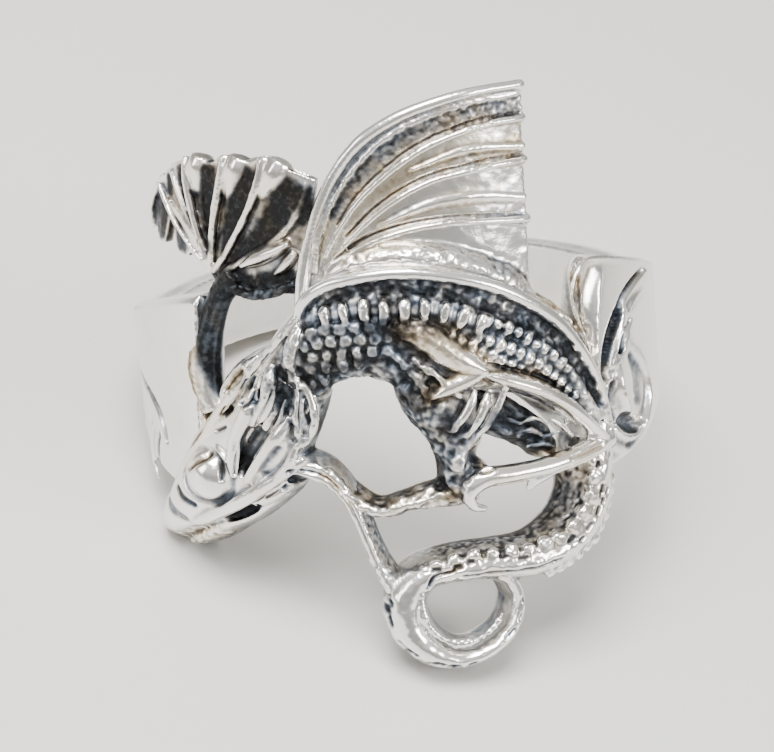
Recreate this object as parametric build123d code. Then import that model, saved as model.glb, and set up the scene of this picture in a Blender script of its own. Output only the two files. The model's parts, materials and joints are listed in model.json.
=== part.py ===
from build123d import *
from build123d.topology import SkipClean
import math
import os

# One-piece cast silver ring: a winged dragon lies across the finger between two leafy
# shoulders, its tail curled into a loop below. Sizes are in millimetres. While it is made,
# the finger points along Z, the dragon faces -Y and the plain band closes the ring at +Y.

# Driving sizes of the ring
bore_diameter = 19.8
wall = 1.6
band_width = 3.3
shoulder_top = 4.6
shoulder_drop = 4.9
curl_raise = 1.2  # how much higher the curl sits on the right shoulder

# Driving sizes of the figure
figure_height = 25.0
head_width = 4.6
head_crest = 2.9
body_width = 4.6
body_crest = 2.6
limb_width = 1.4
limb_crest = 2.9
claw_width = 0.8
claw_crest = 2.3
tail_width = 1.9
tail_crest = 2.3
strut_width = 0.6
strut_crest = 1.7
horn_width = 0.9
horn_crest = 3.2
eye_radius = 1.0
eye_crest = 3.2
membrane_crest = 1.25
rib_width = 0.55
rib_crest = 1.75
scroll_width = 0.75
scroll_crest = 2.15

bore_radius = bore_diameter / 2
skin_radius = bore_radius + wall
layout_radius = bore_radius + wall / 2  # lengths along the ring are measured in the middle of its metal
layout = figure_height / 25  # the tables place the figure in 25ths of its height
ROOT_DEPTH = 0.4  # how far every strand first reaches into the finger hole, to be bored away
EDGE_SHARE = 0.3  # share of a strand's crest at which its sides start to round over
DOME = [math.pi * step / 5 for step in range(6)]
LOOP_FOOT = -10.0  # the tail loop's foot lies below this, in 25ths of the figure's height
SETTLING_STEPS = 12

# Each path row is (along, up, width, crest): along the ring to the right and up the finger
# from the ring's centre, in 25ths of the figure's height, then the shares of the named
# width and crest that the metal has there.
BODY = (
    (-5.6, -0.5, 0.86, 0.98),
    (-4.6, 1.0, 0.72, 0.97),
    (-3.1, 2.4, 0.74, 1.00),
    (-1.2, 3.1, 0.96, 1.00),
    (0.8, 2.8, 1.13, 1.00),
    (2.8, 1.9, 1.15, 1.00),
    (4.9, 0.6, 1.05, 0.97),
    (6.5, -0.8, 0.78, 0.92),
    (7.9, -2.3, 0.38, 0.85),
    (8.7, -3.8, 0.35, 0.80),
)
HEAD = (
    (-12.2, -6.6, 0.17, 0.72),
    (-11.4, -6.1, 0.43, 0.80),
    (-10.2, -5.1, 0.63, 0.90),
    (-8.8, -3.9, 0.85, 0.96),
    (-7.4, -2.6, 1.00, 0.98),
    (-6.3, -1.4, 0.98, 0.96),
    (-5.3, -0.1, 0.85, 0.90),
)
TAIL = (
    (8.4, -2.6, 0.85, 0.98),
    (8.2, -4.2, 1.00, 1.00),
    (8.1, -5.4, 1.05, 1.00),
    (7.4, -6.6, 1.05, 1.00),
    (6.3, -7.3, 1.02, 1.00),
    (5.0, -7.6, 0.92, 1.00),
    (3.5, -7.5, 0.80, 0.97),
    (1.9, -7.4, 0.72, 0.95),
    (0.4, -7.5, 0.80, 0.95),
)
LOOP = (
    (1.0, -7.5, 0.70, 0.92),
    (0.1, -7.8, 0.85, 0.96),
    (-0.6, -8.7, 1.00, 1.00),
    (-0.4, -9.9, 0.95, 1.00),
    (0.3, -10.9, 0.78, 1.00),
    (1.5, -11.5, 0.58, 0.94),
    (2.8, -11.3, 0.50, 0.88),
    (3.9, -10.4, 0.43, 0.82),
    (4.2, -9.2, 0.40, 0.80),
    (3.8, -8.2, 0.42, 0.80),
    (3.0, -7.6, 0.45, 0.80),
)
CHEST = (
    (1.2, 1.0, 2.3, 0.80),
    (1.9, -0.5, 2.1, 0.76),
    (2.2, -1.9, 1.6, 0.70),
    (2.1, -3.2, 1.2, 0.64),
    (1.9, -4.4, 1.0, 0.58),
)
FORELEG = (
    (-0.3, 2.7, 0.7, 0.90),
    (0.9, 2.5, 1.1, 1.04),
    (1.9, 2.0, 1.0, 1.08),
    (2.8, 1.2, 0.4, 1.00),
)
BELLY = (
    (3.0, -0.4, 1.3, 0.62),
    (4.4, -1.4, 1.7, 0.62),
    (5.8, -2.4, 1.5, 0.60),
    (6.6, -3.4, 0.8, 0.58),
)
THIGH = (
    (2.3, 1.4, 0.6, 0.94),
    (3.6, 0.5, 0.9, 1.04),
    (5.4, -0.7, 1.0, 1.06),
    (7.0, -2.0, 0.9, 1.00),
    (8.3, -3.1, 0.6, 0.90),
)
SHIN = (
    (8.7, -3.2, 0.55, 0.80),
    (7.1, -3.7, 0.55, 0.80),
    (5.3, -3.7, 0.50, 0.80),
    (3.6, -3.6, 0.60, 0.78),
    (2.5, -3.6, 0.70, 0.74),
)
ARM = (
    (-2.9, -3.5, 0.5, 0.50),
    (-1.8, -4.3, 0.8, 0.58),
    (-0.5, -4.6, 0.8, 0.60),
    (1.1, -4.4, 1.0, 0.60),
    (2.4, -4.3, 1.0, 0.60),
)
FAN_ARM = (
    (-7.9, 5.8, 1.3, 0.55),
    (-8.4, 4.3, 1.3, 0.62),
    (-9.3, 2.6, 1.5, 0.68),
    (-9.8, 1.0, 1.6, 0.70),
    (-9.5, -0.7, 1.4, 0.70),
    (-8.9, -2.2, 1.1, 0.64),
)
CLAW = (
    (3.3, -3.5, 1.2, 0.98),
    (2.5, -3.7, 1.0, 1.03),
    (2.1, -4.4, 0.8, 1.00),
    (2.4, -5.0, 0.6, 0.92),
    (3.0, -5.1, 0.3, 0.85),
)
SPUR = (
    (3.0, -3.6, 0.7, 0.95),
    (4.0, -4.0, 0.6, 0.90),
    (4.8, -4.7, 0.3, 0.80),
)
STRUT = (
    (-5.4, -2.4, 1.4, 1.05),
    (-4.2, -2.9, 1.1, 1.00),
    (-3.2, -3.6, 1.0, 1.00),
    (-2.5, -4.5, 1.0, 0.98),
    (-2.1, -5.8, 1.0, 0.98),
    (-1.7, -7.1, 1.1, 1.00),
    (-1.0, -8.3, 1.4, 1.05),
)
BEARD = (
    (-6.6, -3.9, 1.6, 1.10),
    (-5.4, -3.5, 1.9, 1.05),
    (-4.3, -2.9, 1.0, 1.00),
)
HORNS = (
    ((-7.0, -3.0, 0.6, 0.94), (-6.2, -0.9, 1.1, 1.00), (-5.1, 1.4, 0.3, 0.90)),
    ((-6.2, -3.3, 0.5, 0.94), (-5.1, -1.2, 1.1, 1.00), (-4.1, 0.5, 0.3, 0.92)),
    ((-5.1, -3.2, 0.5, 0.92), (-4.2, -1.6, 1.1, 0.96), (-3.6, -0.1, 0.3, 0.88)),
)
EARS = (
    ((-7.3, 0.0, 0.9, 0.78), (-6.6, 1.0, 1.2, 0.80), (-5.6, 2.0, 0.3, 0.74)),
)
EYE = (-7.8, -3.2)

# Wing ribs, as the rows above; the first one is the leading edge.
WING_RIBS = (
    (
        (-3.5, 4.0, 1.4, 1.30),
        (-3.5, 5.6, 1.4, 1.24),
        (-3.1, 7.2, 1.4, 1.18),
        (-2.3, 8.8, 1.4, 1.12),
        (-1.0, 10.3, 1.4, 1.08),
        (0.8, 11.5, 1.4, 1.04),
        (3.0, 12.2, 1.3, 1.02),
        (6.5, 12.4, 1.1, 1.00),
    ),
    ((-3.1, 5.6, 0.9, 1.1), (-1.7, 7.9, 0.9, 1.05), (0.6, 9.8, 0.9, 1.0), (3.1, 10.8, 0.9, 1.0), (6.7, 11.0, 0.9, 1.0)),
    ((-3.0, 5.1, 0.9, 1.1), (-1.5, 6.9, 0.9, 1.05), (1.2, 8.8, 0.9, 1.0), (3.4, 9.2, 0.9, 1.0), (6.7, 9.3, 0.9, 1.0)),
    ((-3.0, 4.7, 0.9, 1.1), (-1.5, 5.8, 0.9, 1.05), (0.4, 6.5, 0.9, 1.0), (2.6, 6.9, 0.9, 1.0), (6.5, 6.9, 0.9, 1.0)),
)
FAN_RIBS = (
    ((-8.3, 4.9, 1.1, 0.9), (-9.2, 6.9, 0.9, 1.0), (-10.2, 8.3, 1.0, 1.0), (-10.9, 9.6, 1.4, 1.1)),
    ((-8.3, 4.9, 1.1, 0.9), (-8.6, 6.9, 0.9, 1.0), (-9.3, 8.6, 1.0, 1.0), (-9.1, 10.2, 1.8, 1.1)),
    ((-8.2, 4.9, 1.1, 0.9), (-7.8, 6.9, 0.9, 1.0), (-7.5, 8.7, 1.0, 1.0), (-7.0, 10.4, 1.9, 1.1)),
    ((-8.0, 4.9, 1.1, 0.9), (-6.6, 6.8, 0.9, 1.0), (-5.4, 8.7, 1.0, 1.0), (-5.1, 10.4, 1.8, 1.1)),
    ((-7.6, 5.0, 1.1, 0.9), (-5.2, 6.3, 0.9, 1.0), (-3.7, 7.8, 0.9, 1.0), (-3.2, 9.7, 1.2, 1.1)),
)

# Outlines of the thin panels, as (along, up) corners in 25ths of the figure's height.
WING_OUTLINE = (
    (-3.5, 4.2), (-3.4, 6.6), (-2.6, 8.6), (-0.8, 10.7), (1.8, 12.0), (4.0, 12.4),
    (6.6, 12.4), (6.3, 11.7), (6.7, 11.0), (6.3, 10.2), (6.6, 9.3), (6.2, 8.1),
    (6.5, 6.9), (6.1, 5.6), (6.3, 2.6), (4.0, 3.3), (0.0, 4.4),
)
FAN_OUTLINE = (
    (-8.8, 4.6), (-9.6, 5.3), (-10.6, 5.6), (-11.6, 5.3), (-12.8, 5.9), (-13.1, 7.2),
    (-12.6, 8.6), (-10.9, 9.4), (-9.9, 9.2), (-9.0, 10.0), (-8.1, 9.4), (-7.0, 10.2),
    (-6.1, 9.6), (-5.1, 10.2), (-4.2, 9.4), (-3.3, 9.7), (-2.4, 9.2), (-3.3, 6.2),
    (-3.2, 4.4), (-4.6, 4.8), (-5.9, 5.1), (-7.4, 4.7),
)

# Scrolls on the right shoulder; the left ones are their mirror image.
CURL = (
    (10.9, -0.4, 0.7, 0.9),
    (12.6, -0.1, 0.9, 1.0),
    (14.2, -1.0, 1.1, 1.0),
    (15.2, -2.8, 1.2, 1.0),
    (14.9, -4.6, 1.2, 1.0),
    (13.4, -5.5, 1.1, 1.0),
    (11.7, -4.9, 0.8, 1.0),
    (10.8, -3.7, 0.6, 0.9),
)
LEAF_RIM = (
    (13.5, 3.7, 0.4, 0.85),
    (11.3, 4.2, 0.7, 0.90),
    (9.3, 4.4, 0.8, 0.95),
    (8.0, 3.6, 0.8, 0.95),
    (7.4, 2.0, 0.8, 0.95),
    (7.7, 0.2, 0.8, 0.95),
)
LEAF_MIDRIB = (
    (12.5, 2.0, 0.7, 0.90),
    (10.9, 0.9, 0.9, 0.95),
    (9.9, -1.0, 0.8, 0.95),
    (9.5, -2.9, 0.7, 0.90),
    (10.4, -4.6, 0.5, 0.85),
)
SHOULDER_END = 7.4  # how far forward the band's shoulders reach along the ring, in the same 25ths
SHOULDER_FLARE = 0.25  # share of the skin's radius behind the centre where the band starts to widen


def at(along, up, rise):
    """A point on the ring: along the skin, up the finger, and rise above the finger hole."""
    angle = along / layout_radius
    radius = bore_radius + rise
    return Vector(radius * math.sin(angle), -radius * math.cos(angle), up)


def eased(rows):
    """The rows with one more between each pair, on a smooth curve through them."""
    full = [rows[0]]
    for number in range(len(rows) - 1):
        near, far = rows[number], rows[number + 1]
        before, after = rows[max(number - 1, 0)], rows[min(number + 2, len(rows) - 1)]
        full.append([(9 * (n + f) - b - a) / 16 for b, n, f, a in zip(before, near, far, after)])
        full.append(far)
    return full


def faceted(rings):
    """A closed solid of flat faces through rings of points, closed at both ends."""
    faces = []
    for near, far in zip(rings, rings[1:]):
        for k in range(len(near)):
            following = (k + 1) % len(near)
            faces.append(Face(Wire.make_polygon([near[k], near[following], far[following]])))
            faces.append(Face(Wire.make_polygon([near[k], far[following], far[k]])))
    for end in (rings[0], rings[-1]):
        middle = sum(end, Vector()) / len(end)
        for k in range(len(end)):
            faces.append(Face(Wire.make_polygon([end[k], end[(k + 1) % len(end)], middle])))
    return Solid(Shell(faces))


def strand(rows, width, crest):
    """A domed strand of metal that lies round the finger hole and follows the rows."""
    rings = []
    for number, (along, up, wide, high) in enumerate(rows):
        before, after = rows[max(number - 1, 0)], rows[min(number + 1, len(rows) - 1)]
        run, climb = after[0] - before[0], after[1] - before[1]
        side = wide * width / 2 / math.hypot(run, climb)
        top = high * crest
        edge = top * EDGE_SHARE
        profile = [(math.cos(t), edge + (top - edge) * math.sin(t)) for t in DOME]
        profile += [(-1, -ROOT_DEPTH), (1, -ROOT_DEPTH)]
        rings.append([
            at(along * layout - climb * side * share, up * layout + run * side * share, rise)
            for share, rise in profile
        ])
    return faceted(rings)


def panel(outline, crest):
    """A thin curved panel: the outline laid square on to its middle and cut from the skin."""
    middle = sum(corner[0] for corner in outline) / len(outline) * layout
    angle = middle / layout_radius
    facing = Vector(math.sin(angle), -math.cos(angle), 0)
    plane = Plane(origin=(0, 0, 0), x_dir=(math.cos(angle), math.sin(angle), 0), z_dir=facing)
    spots = [plane.to_local_coords(at(x * layout, y * layout, crest / 2)) for x, y in outline]
    face = make_face(Polyline(*[(spot.X, spot.Y) for spot in spots], close=True))
    block = extrude(plane * face, skin_radius * 2)
    return block & shell(crest)


def shell(crest):
    """The hollow cylinder around the finger, with the given rise."""
    return Cylinder(bore_radius + crest, figure_height * 2) - Cylinder(bore_radius - ROOT_DEPTH, figure_height * 2)


def band():
    """The plain back of the ring, widening forward to the two shoulders."""
    back = skin_radius * 1.2
    flare = skin_radius * SHOULDER_FLARE
    front = -skin_radius * math.cos(SHOULDER_END * layout / layout_radius)
    half = band_width / 2
    upper = Spline((flare, half), (front / 2, (half + shoulder_top) / 2), (front, shoulder_top))
    lower = Spline((front, -shoulder_drop), (front / 3, -shoulder_drop * 0.8), (flare, -half))
    rest = Polyline((flare, -half), (back, -half), (back, half), (flare, half))
    side = make_face(upper + Line((front, shoulder_top), (front, -shoulder_drop)) + lower + rest)
    plane = Plane(origin=(0, 0, 0), x_dir=(0, 1, 0), z_dir=(1, 0, 0))
    return extrude(plane * side, skin_radius * 2, both=True) & shell(wall)


def eye():
    """The domed eye."""
    centre = at(EYE[0] * layout, EYE[1] * layout, eye_crest - eye_radius)
    return Pos(centre) * Sphere(eye_radius)


def shoulder_scrolls():
    """The leaf rim, midrib and curl of each shoulder, the right curl a little higher."""
    leaf = [strand(rows, scroll_width, scroll_crest) for rows in (LEAF_RIM, LEAF_MIDRIB)]
    curl = strand(CURL, scroll_width, scroll_crest)
    left = [mirror(piece, about=Plane.YZ) for piece in leaf + [curl]]
    return leaf + [Pos(0, 0, curl_raise) * curl] + left


def figure():
    """Every strand and panel of the dragon."""
    pieces = [
        strand(eased(BODY), body_width, body_crest),
        strand(eased(HEAD), head_width, head_crest),
        strand(eased(TAIL), tail_width, tail_crest),
        strand(eased(LOOP), tail_width, tail_crest),
        strand(CHEST, limb_width, limb_crest),
        strand(FORELEG, limb_width, limb_crest),
        strand(BELLY, limb_width, limb_crest),
        strand(THIGH, limb_width, limb_crest),
        strand(SHIN, limb_width, limb_crest),
        strand(ARM, limb_width, limb_crest),
        strand(FAN_ARM, limb_width, limb_crest),
        strand(CLAW, claw_width, claw_crest),
        strand(SPUR, claw_width, claw_crest),
        strand(STRUT, strut_width, strut_crest),
        strand(BEARD, strut_width, strut_crest),
        panel(WING_OUTLINE, membrane_crest),
        panel(FAN_OUTLINE, membrane_crest),
        eye(),
    ]
    pieces += [strand(rows, horn_width, horn_crest) for rows in HORNS + EARS]
    pieces += [strand(rows, rib_width, rib_crest) for rows in WING_RIBS + FAN_RIBS]
    return pieces


def casting():
    """The whole ring as it is cast, with its true round finger hole."""
    with SkipClean():
        whole = band().fuse(*figure(), *shoulder_scrolls())
        return (whole - Cylinder(bore_radius, figure_height * 2)).solid()


def upright_when_lying(ring):
    """The direction that points up when the ring lies on its tail loop, left curl and back rim."""
    corners = [Vector(*corner) for corner in ring.vertices()]
    loop = [corner for corner in corners if corner.Z < LOOP_FOOT * layout]
    curl = [corner for corner in corners if corner.X < -bore_radius and corner.Z < -band_width]
    upright = Vector(0, 0, 1)
    for _ in range(SETTLING_STEPS):
        loop_foot = min(loop, key=upright.dot)
        curl_foot = min(curl, key=upright.dot)
        sideways = Vector(-upright.X, -upright.Y, 0)
        reach = sideways.normalized() * skin_radius if sideways.length > 0 else Vector(0, skin_radius, 0)
        rim_foot = reach - Vector(0, 0, band_width / 2)
        upright = (rim_foot - curl_foot).cross(loop_foot - curl_foot).normalized()
        if upright.Z < 0:
            upright = -upright
    return upright


def laid_down(ring):
    """The ring turned and moved so that it lies on the ground, its box centred on the origin."""
    upright = upright_when_lying(ring)
    sideways = Vector(0, 1, 0).cross(upright)
    lying = ring.moved(Plane(origin=(0, 0, 0), x_dir=sideways, z_dir=upright).location.inverse())
    box = lying.bounding_box()
    middle = box.center()
    return lying.moved(Pos(-middle.X, -middle.Y, -box.min.Z))


os.makedirs("parts", exist_ok=True)
ring = laid_down(casting())
export_step(ring, "parts/dragon_ring.step")
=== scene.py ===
# %% [markdown]
# # A cast dragon ring in oxidised silver
# The real ring was carved in wax, cast in sterling silver in one piece, dipped until it turned
# black, and then polished, so that only its hollows stayed dark. This notebook builds it in the
# same order: first the wax forms, then the weld that makes them one skin, then the carving,
# then the dark finish, and at last the light.

# %% Load the frame
import json
import math
import bmesh
import bpy
import numpy as np
from mathutils import Matrix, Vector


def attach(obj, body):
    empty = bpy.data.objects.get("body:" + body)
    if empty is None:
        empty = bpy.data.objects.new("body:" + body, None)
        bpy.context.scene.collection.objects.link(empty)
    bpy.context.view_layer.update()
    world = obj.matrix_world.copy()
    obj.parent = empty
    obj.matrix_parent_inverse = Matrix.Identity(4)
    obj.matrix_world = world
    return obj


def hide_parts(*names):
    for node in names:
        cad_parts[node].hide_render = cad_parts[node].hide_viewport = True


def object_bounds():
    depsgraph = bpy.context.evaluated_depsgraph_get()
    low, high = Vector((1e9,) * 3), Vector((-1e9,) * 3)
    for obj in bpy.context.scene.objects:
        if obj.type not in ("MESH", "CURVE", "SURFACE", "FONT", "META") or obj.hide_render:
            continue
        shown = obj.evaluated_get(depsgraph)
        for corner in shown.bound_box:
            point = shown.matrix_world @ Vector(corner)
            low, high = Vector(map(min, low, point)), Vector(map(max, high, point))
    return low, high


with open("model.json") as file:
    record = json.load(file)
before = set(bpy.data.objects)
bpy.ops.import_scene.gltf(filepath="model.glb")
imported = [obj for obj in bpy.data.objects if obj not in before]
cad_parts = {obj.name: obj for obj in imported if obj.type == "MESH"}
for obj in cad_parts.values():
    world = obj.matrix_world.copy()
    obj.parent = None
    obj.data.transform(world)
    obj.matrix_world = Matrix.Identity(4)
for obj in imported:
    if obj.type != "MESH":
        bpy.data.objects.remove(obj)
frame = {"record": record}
cad_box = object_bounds()
print("frame box in mm", [[round(1000 * v, 2) for v in corner] for corner in cad_box])

# %% [markdown]
# ## A skin to work on
# Everything on this ring lies round the finger. So each point gets three easy numbers in
# millimetres: along the ring to the right, up the finger, and rise above the finger hole. One
# function turns them into a place in the frame, and another one goes back.

# %% Skin coordinates
MM = 0.001
ROUND = 2 * math.pi
bore = frame["record"]["mounts"][0]
CENTRE = np.array(bore["pos_m"])
FINGER = np.array(bore["axis"])
INWARD = np.array([0.0, FINGER[2], -FINGER[1]])
INWARD = INWARD / np.linalg.norm(INWARD)
RIGHT = np.cross(INWARD, FINGER)
BORE = bore["dims"]["r_mm"]
WALL = 1.6  # thickness of the plain band
MIDDLE = BORE + WALL / 2  # lengths along the ring are measured in the middle of its metal


def skin(along, up, rise):
    """Places in the frame of points given in skin coordinates."""
    angle = np.asarray(along, float) / MIDDLE
    radius = BORE + np.asarray(rise, float)
    x, depth = radius * np.sin(angle), -radius * np.cos(angle)
    spots = x[..., None] * RIGHT + depth[..., None] * INWARD + np.asarray(up, float)[..., None] * FINGER
    return CENTRE + MM * spots


def unskin(places):
    """The skin coordinates of places in the frame."""
    offset = (places - CENTRE) / MM
    x, depth, up = offset @ RIGHT, offset @ INWARD, offset @ FINGER
    return np.arctan2(x, -depth) * MIDDLE, up, np.hypot(x, depth) - BORE


def outward(places):
    """The direction straight away from the finger at each place."""
    offset = places - CENTRE
    flat = offset - (offset @ FINGER)[:, None] * FINGER
    return flat / np.linalg.norm(flat, axis=1)[:, None]


lean = math.degrees(math.acos(FINGER[2]))
print("finger hole", 2 * BORE, "mm across, leaning", round(lean, 1), "degrees")

# %% [markdown]
# ## Smooth paths
# A carver works with a few strokes, not with hundreds of points. Each table row below is one spot
# of a stroke, and this function draws the smooth line through the rows. It could be a curve
# object, but plain numbers are easier to reuse for forms, grooves and paint.


# %% Smooth paths
def smooth(rows, step):
    """Evenly spaced rows on a smooth line through the given rows, whose first two numbers are its place."""
    rows = np.array(rows, float)
    gaps = np.hypot(*np.diff(rows[:, :2], axis=0).T)
    knots = np.concatenate([[0.0], np.cumsum(gaps)])
    slopes = np.gradient(rows, knots, axis=0)
    count = max(int(round(knots[-1] / step)), 2) + 1
    s = np.linspace(0, knots[-1], count)
    k = np.clip(np.searchsorted(knots, s, side="right") - 1, 0, len(gaps) - 1)
    u, gap = ((s - knots[k]) / gaps[k])[:, None], gaps[k][:, None]
    ease = 3 * u**2 - 2 * u**3
    line = (1 - ease) * rows[k] + ease * rows[k + 1]
    return line + gap * (u * (1 - u) ** 2 * slopes[k] - u**2 * (1 - u) * slopes[k + 1])


print("a stroke through 3 spots has", len(smooth(((0, 0), (1, 1), (2, 0)), 0.06)), "points")


# %% [markdown]
# ## Strands of wax
# Limbs, body, tail and spikes are strands that lie on the finger's skin: flat underneath, where
# the finger goes, and domed on top. A strand could be a bevelled curve, but its width and its
# height change apart from each other, so the rings of points are worked out directly.

# %% Strands
DOME = np.linspace(0, math.pi, 25)
EDGE = 0.3  # share of the crest at which the sides start to round over
THINNEST, LOWEST = 0.04, 0.2  # no strand is narrower or lower, so that it stays closed


def lattice(grid):
    """Triangles of a closed tube through the rings of a grid of points, with both ends closed."""
    rings, around = grid.shape[:2]
    number = np.arange(rings * around).reshape(rings, around)
    a, b = number[:-1], np.roll(number, -1, axis=1)[:-1]
    c, d = np.roll(number, -1, axis=1)[1:], number[1:]
    tris = [np.stack([a, b, c], -1).reshape(-1, 3), np.stack([a, c, d], -1).reshape(-1, 3)]
    spots = [grid.reshape(-1, 3), grid[0].mean(axis=0)[None], grid[-1].mean(axis=0)[None]]
    for ring, hub in ((number[0], rings * around), (number[-1], rings * around + 1)):
        tris.append(np.stack([ring, np.roll(ring, -1), np.full(around, hub)], -1))
    return np.vstack(spots), np.vstack(tris)


def slab(outside, inside):
    """A closed form between the grids of (along, up, rise) over it and under it."""
    return lattice(skin(*(np.concatenate([a, b[:, ::-1]], axis=1) for a, b in zip(outside, inside))))


def strand(rows, step=0.12, power=1.0):
    """A strand along rows of (along, up, width, crest) in millimetres. A low power makes its top flatter."""
    line = smooth(rows, step)
    heading = np.gradient(line[:, :2], axis=0)
    heading /= np.linalg.norm(heading, axis=1)[:, None]
    width, crest = np.maximum(line[:, 2:3], THINNEST), np.maximum(line[:, 3:4], LOWEST)
    across = np.concatenate([np.cos(DOME), [-1.0, -0.4, 0.4, 1.0]])[None] * width / 2
    dome = EDGE * crest + (1 - EDGE) * crest * np.sin(DOME)[None] ** power
    rise = np.concatenate([dome, np.zeros((len(line), 4))], axis=1)
    along = line[:, 0:1] - heading[:, 1:2] * across
    up = line[:, 1:2] + heading[:, 0:1] * across
    return lattice(skin(along, up, rise))


def ball(along, up, rise, radius):
    """A smooth round ball of wax at a spot on the skin."""
    pole = 0.02  # the rings stop just short of the poles, where they would shrink to nothing
    turns = np.linspace(0, ROUND, 48, endpoint=False)
    turn, tilt = np.meshgrid(turns, np.linspace(pole, math.pi - pole, 30))
    spots = np.stack([np.cos(turn) * np.sin(tilt), np.sin(turn) * np.sin(tilt), np.cos(tilt)], -1)
    return lattice(skin(along, up, rise) + spots * radius * MM)


print("a ball of wax has", len(ball(0, 0, 2, 0.5)[1]), "triangles")


# %% [markdown]
# ## Wires and beads with Geometry Nodes
# Wing ribs, spines and rims are wires that follow a path and change in thickness. Scales, beads and
# knuckles are one small pebble repeated along a path. Both could be modelled one by one, but two
# node trees make them all: one sweeps a circle, scaled by the radius stored on each point, and
# one sets a pebble at even spacing, turned so that it stands straight away from the finger.

# %% Helpers for node trees
# the wax only carries the forms: it is gone once the weld has made them metal
wax = bpy.data.materials.new("carving_wax")


def add(tree, kind, settings=None, **links):
    """A new node with its settings and with its inputs linked or filled in."""
    node = tree.nodes.new(kind)
    for key, value in (settings or {}).items():
        setattr(node, key, value)
    for key, value in links.items():
        numbered = key[0] == "i" and key[1:].isdigit()
        slot = node.inputs[int(key[1:]) if numbered else key.replace("_", " ")]
        if isinstance(value, bpy.types.NodeSocket):
            tree.links.new(value, slot)
        else:
            slot.default_value = value
    return node


def new_tree(name, inputs):
    """An empty geometry node tree with named inputs, given as (name, socket kind, default)."""
    tree = bpy.data.node_groups.new(name, "GeometryNodeTree")
    tree.interface.new_socket("Geometry", in_out="INPUT", socket_type="NodeSocketGeometry")
    for label, kind, default in inputs:
        socket = tree.interface.new_socket(label, in_out="INPUT", socket_type=kind)
        if default is not None:
            socket.default_value = default
    tree.interface.new_socket("Geometry", in_out="OUTPUT", socket_type="NodeSocketGeometry")
    return tree, tree.nodes.new("NodeGroupInput")


def close_tree(tree, geometry):
    """Ends a tree with real geometry that carries its material."""
    solid = add(tree, "GeometryNodeRealizeInstances", i0=geometry)
    done = add(tree, "GeometryNodeSetMaterial", i0=solid.outputs[0], Material=wax)
    tree.links.new(done.outputs[0], tree.nodes.new("NodeGroupOutput").inputs[0])
    return tree


def placed(name, data):
    """A new object of the scene that holds the data."""
    thing = bpy.data.objects.new(name, data)
    bpy.context.scene.collection.objects.link(thing)
    return thing


def baked(thing):
    """The plain mesh that an object's modifiers leave."""
    return bpy.data.meshes.new_from_object(thing.evaluated_get(bpy.context.evaluated_depsgraph_get()))


def run_tree(tree, data, **values):
    """The plain points and triangles that a tree makes from a curve or mesh."""
    thing = placed("guide", data)
    modifier = thing.modifiers.new("make", "NODES")
    modifier.node_group = tree
    names = {item.name: item.identifier for item in tree.interface.items_tree if item.in_out == "INPUT"}
    for key, value in values.items():
        modifier[names[key.replace("_", " ")]] = value
    made = baked(thing)
    thing.modifiers.remove(modifier)
    shape = points_of(made), triangles_of(made)
    bpy.data.objects.remove(thing)
    return shape


def numbers_of(items, field, width, kind=float):
    """One field of a mesh's points, edges or triangles, as an array with a row for each."""
    flat = np.empty(len(items) * width, kind)
    items.foreach_get(field, flat)
    return flat.reshape(-1, width)


def points_of(mesh):
    return numbers_of(mesh.vertices, "co", 3)


def triangles_of(mesh):
    mesh.calc_loop_triangles()
    return numbers_of(mesh.loop_triangles, "vertices", 3, int)


def guides(paths, step=0.06):
    """One curve object's data that holds every path, rows of (along, up, rise, radius)."""
    data = bpy.data.curves.new("paths", "CURVE")
    data.dimensions = "3D"
    for rows in paths:
        line = smooth(rows, step)
        spline = data.splines.new("POLY")
        spline.points.add(len(line) - 1)
        places = skin(line[:, 0], line[:, 1], line[:, 2])
        spline.points.foreach_set("co", np.column_stack([places, np.ones(len(line))]).ravel())
        spline.points.foreach_set("radius", line[:, 3] * MM)
    return data


# %% Tree for wires
wire_tree, entry = new_tree("Tapered wires", [("Sides", "NodeSocketInt", 10)])
circle = add(wire_tree, "GeometryNodeCurvePrimitiveCircle", Resolution=entry.outputs["Sides"], Radius=1.0)
radius = add(wire_tree, "GeometryNodeInputRadius")
sweep = add(wire_tree, "GeometryNodeCurveToMesh", i0=entry.outputs[0], i1=circle.outputs[0],
            Scale=radius.outputs[0], Fill_Caps=True)
close_tree(wire_tree, sweep.outputs[0])
print("the tree for wires has", len(wire_tree.nodes), "nodes")

# %% Tree for beads
bead_tree, entry = new_tree(
    "Bead rows",
    [
        ("Spacing", "NodeSocketFloat", 0.0005), ("Shape", "NodeSocketVector", (1, 1, 1)),
        ("Variation", "NodeSocketFloat", 0.15), ("Roundness", "NodeSocketFloat", 1.0),
        ("Seed", "NodeSocketInt", 1),
    ],
)
spots = add(bead_tree, "GeometryNodeCurveToPoints", {"mode": "LENGTH"}, Curve=entry.outputs[0],
            Length=entry.outputs["Spacing"])

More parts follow.
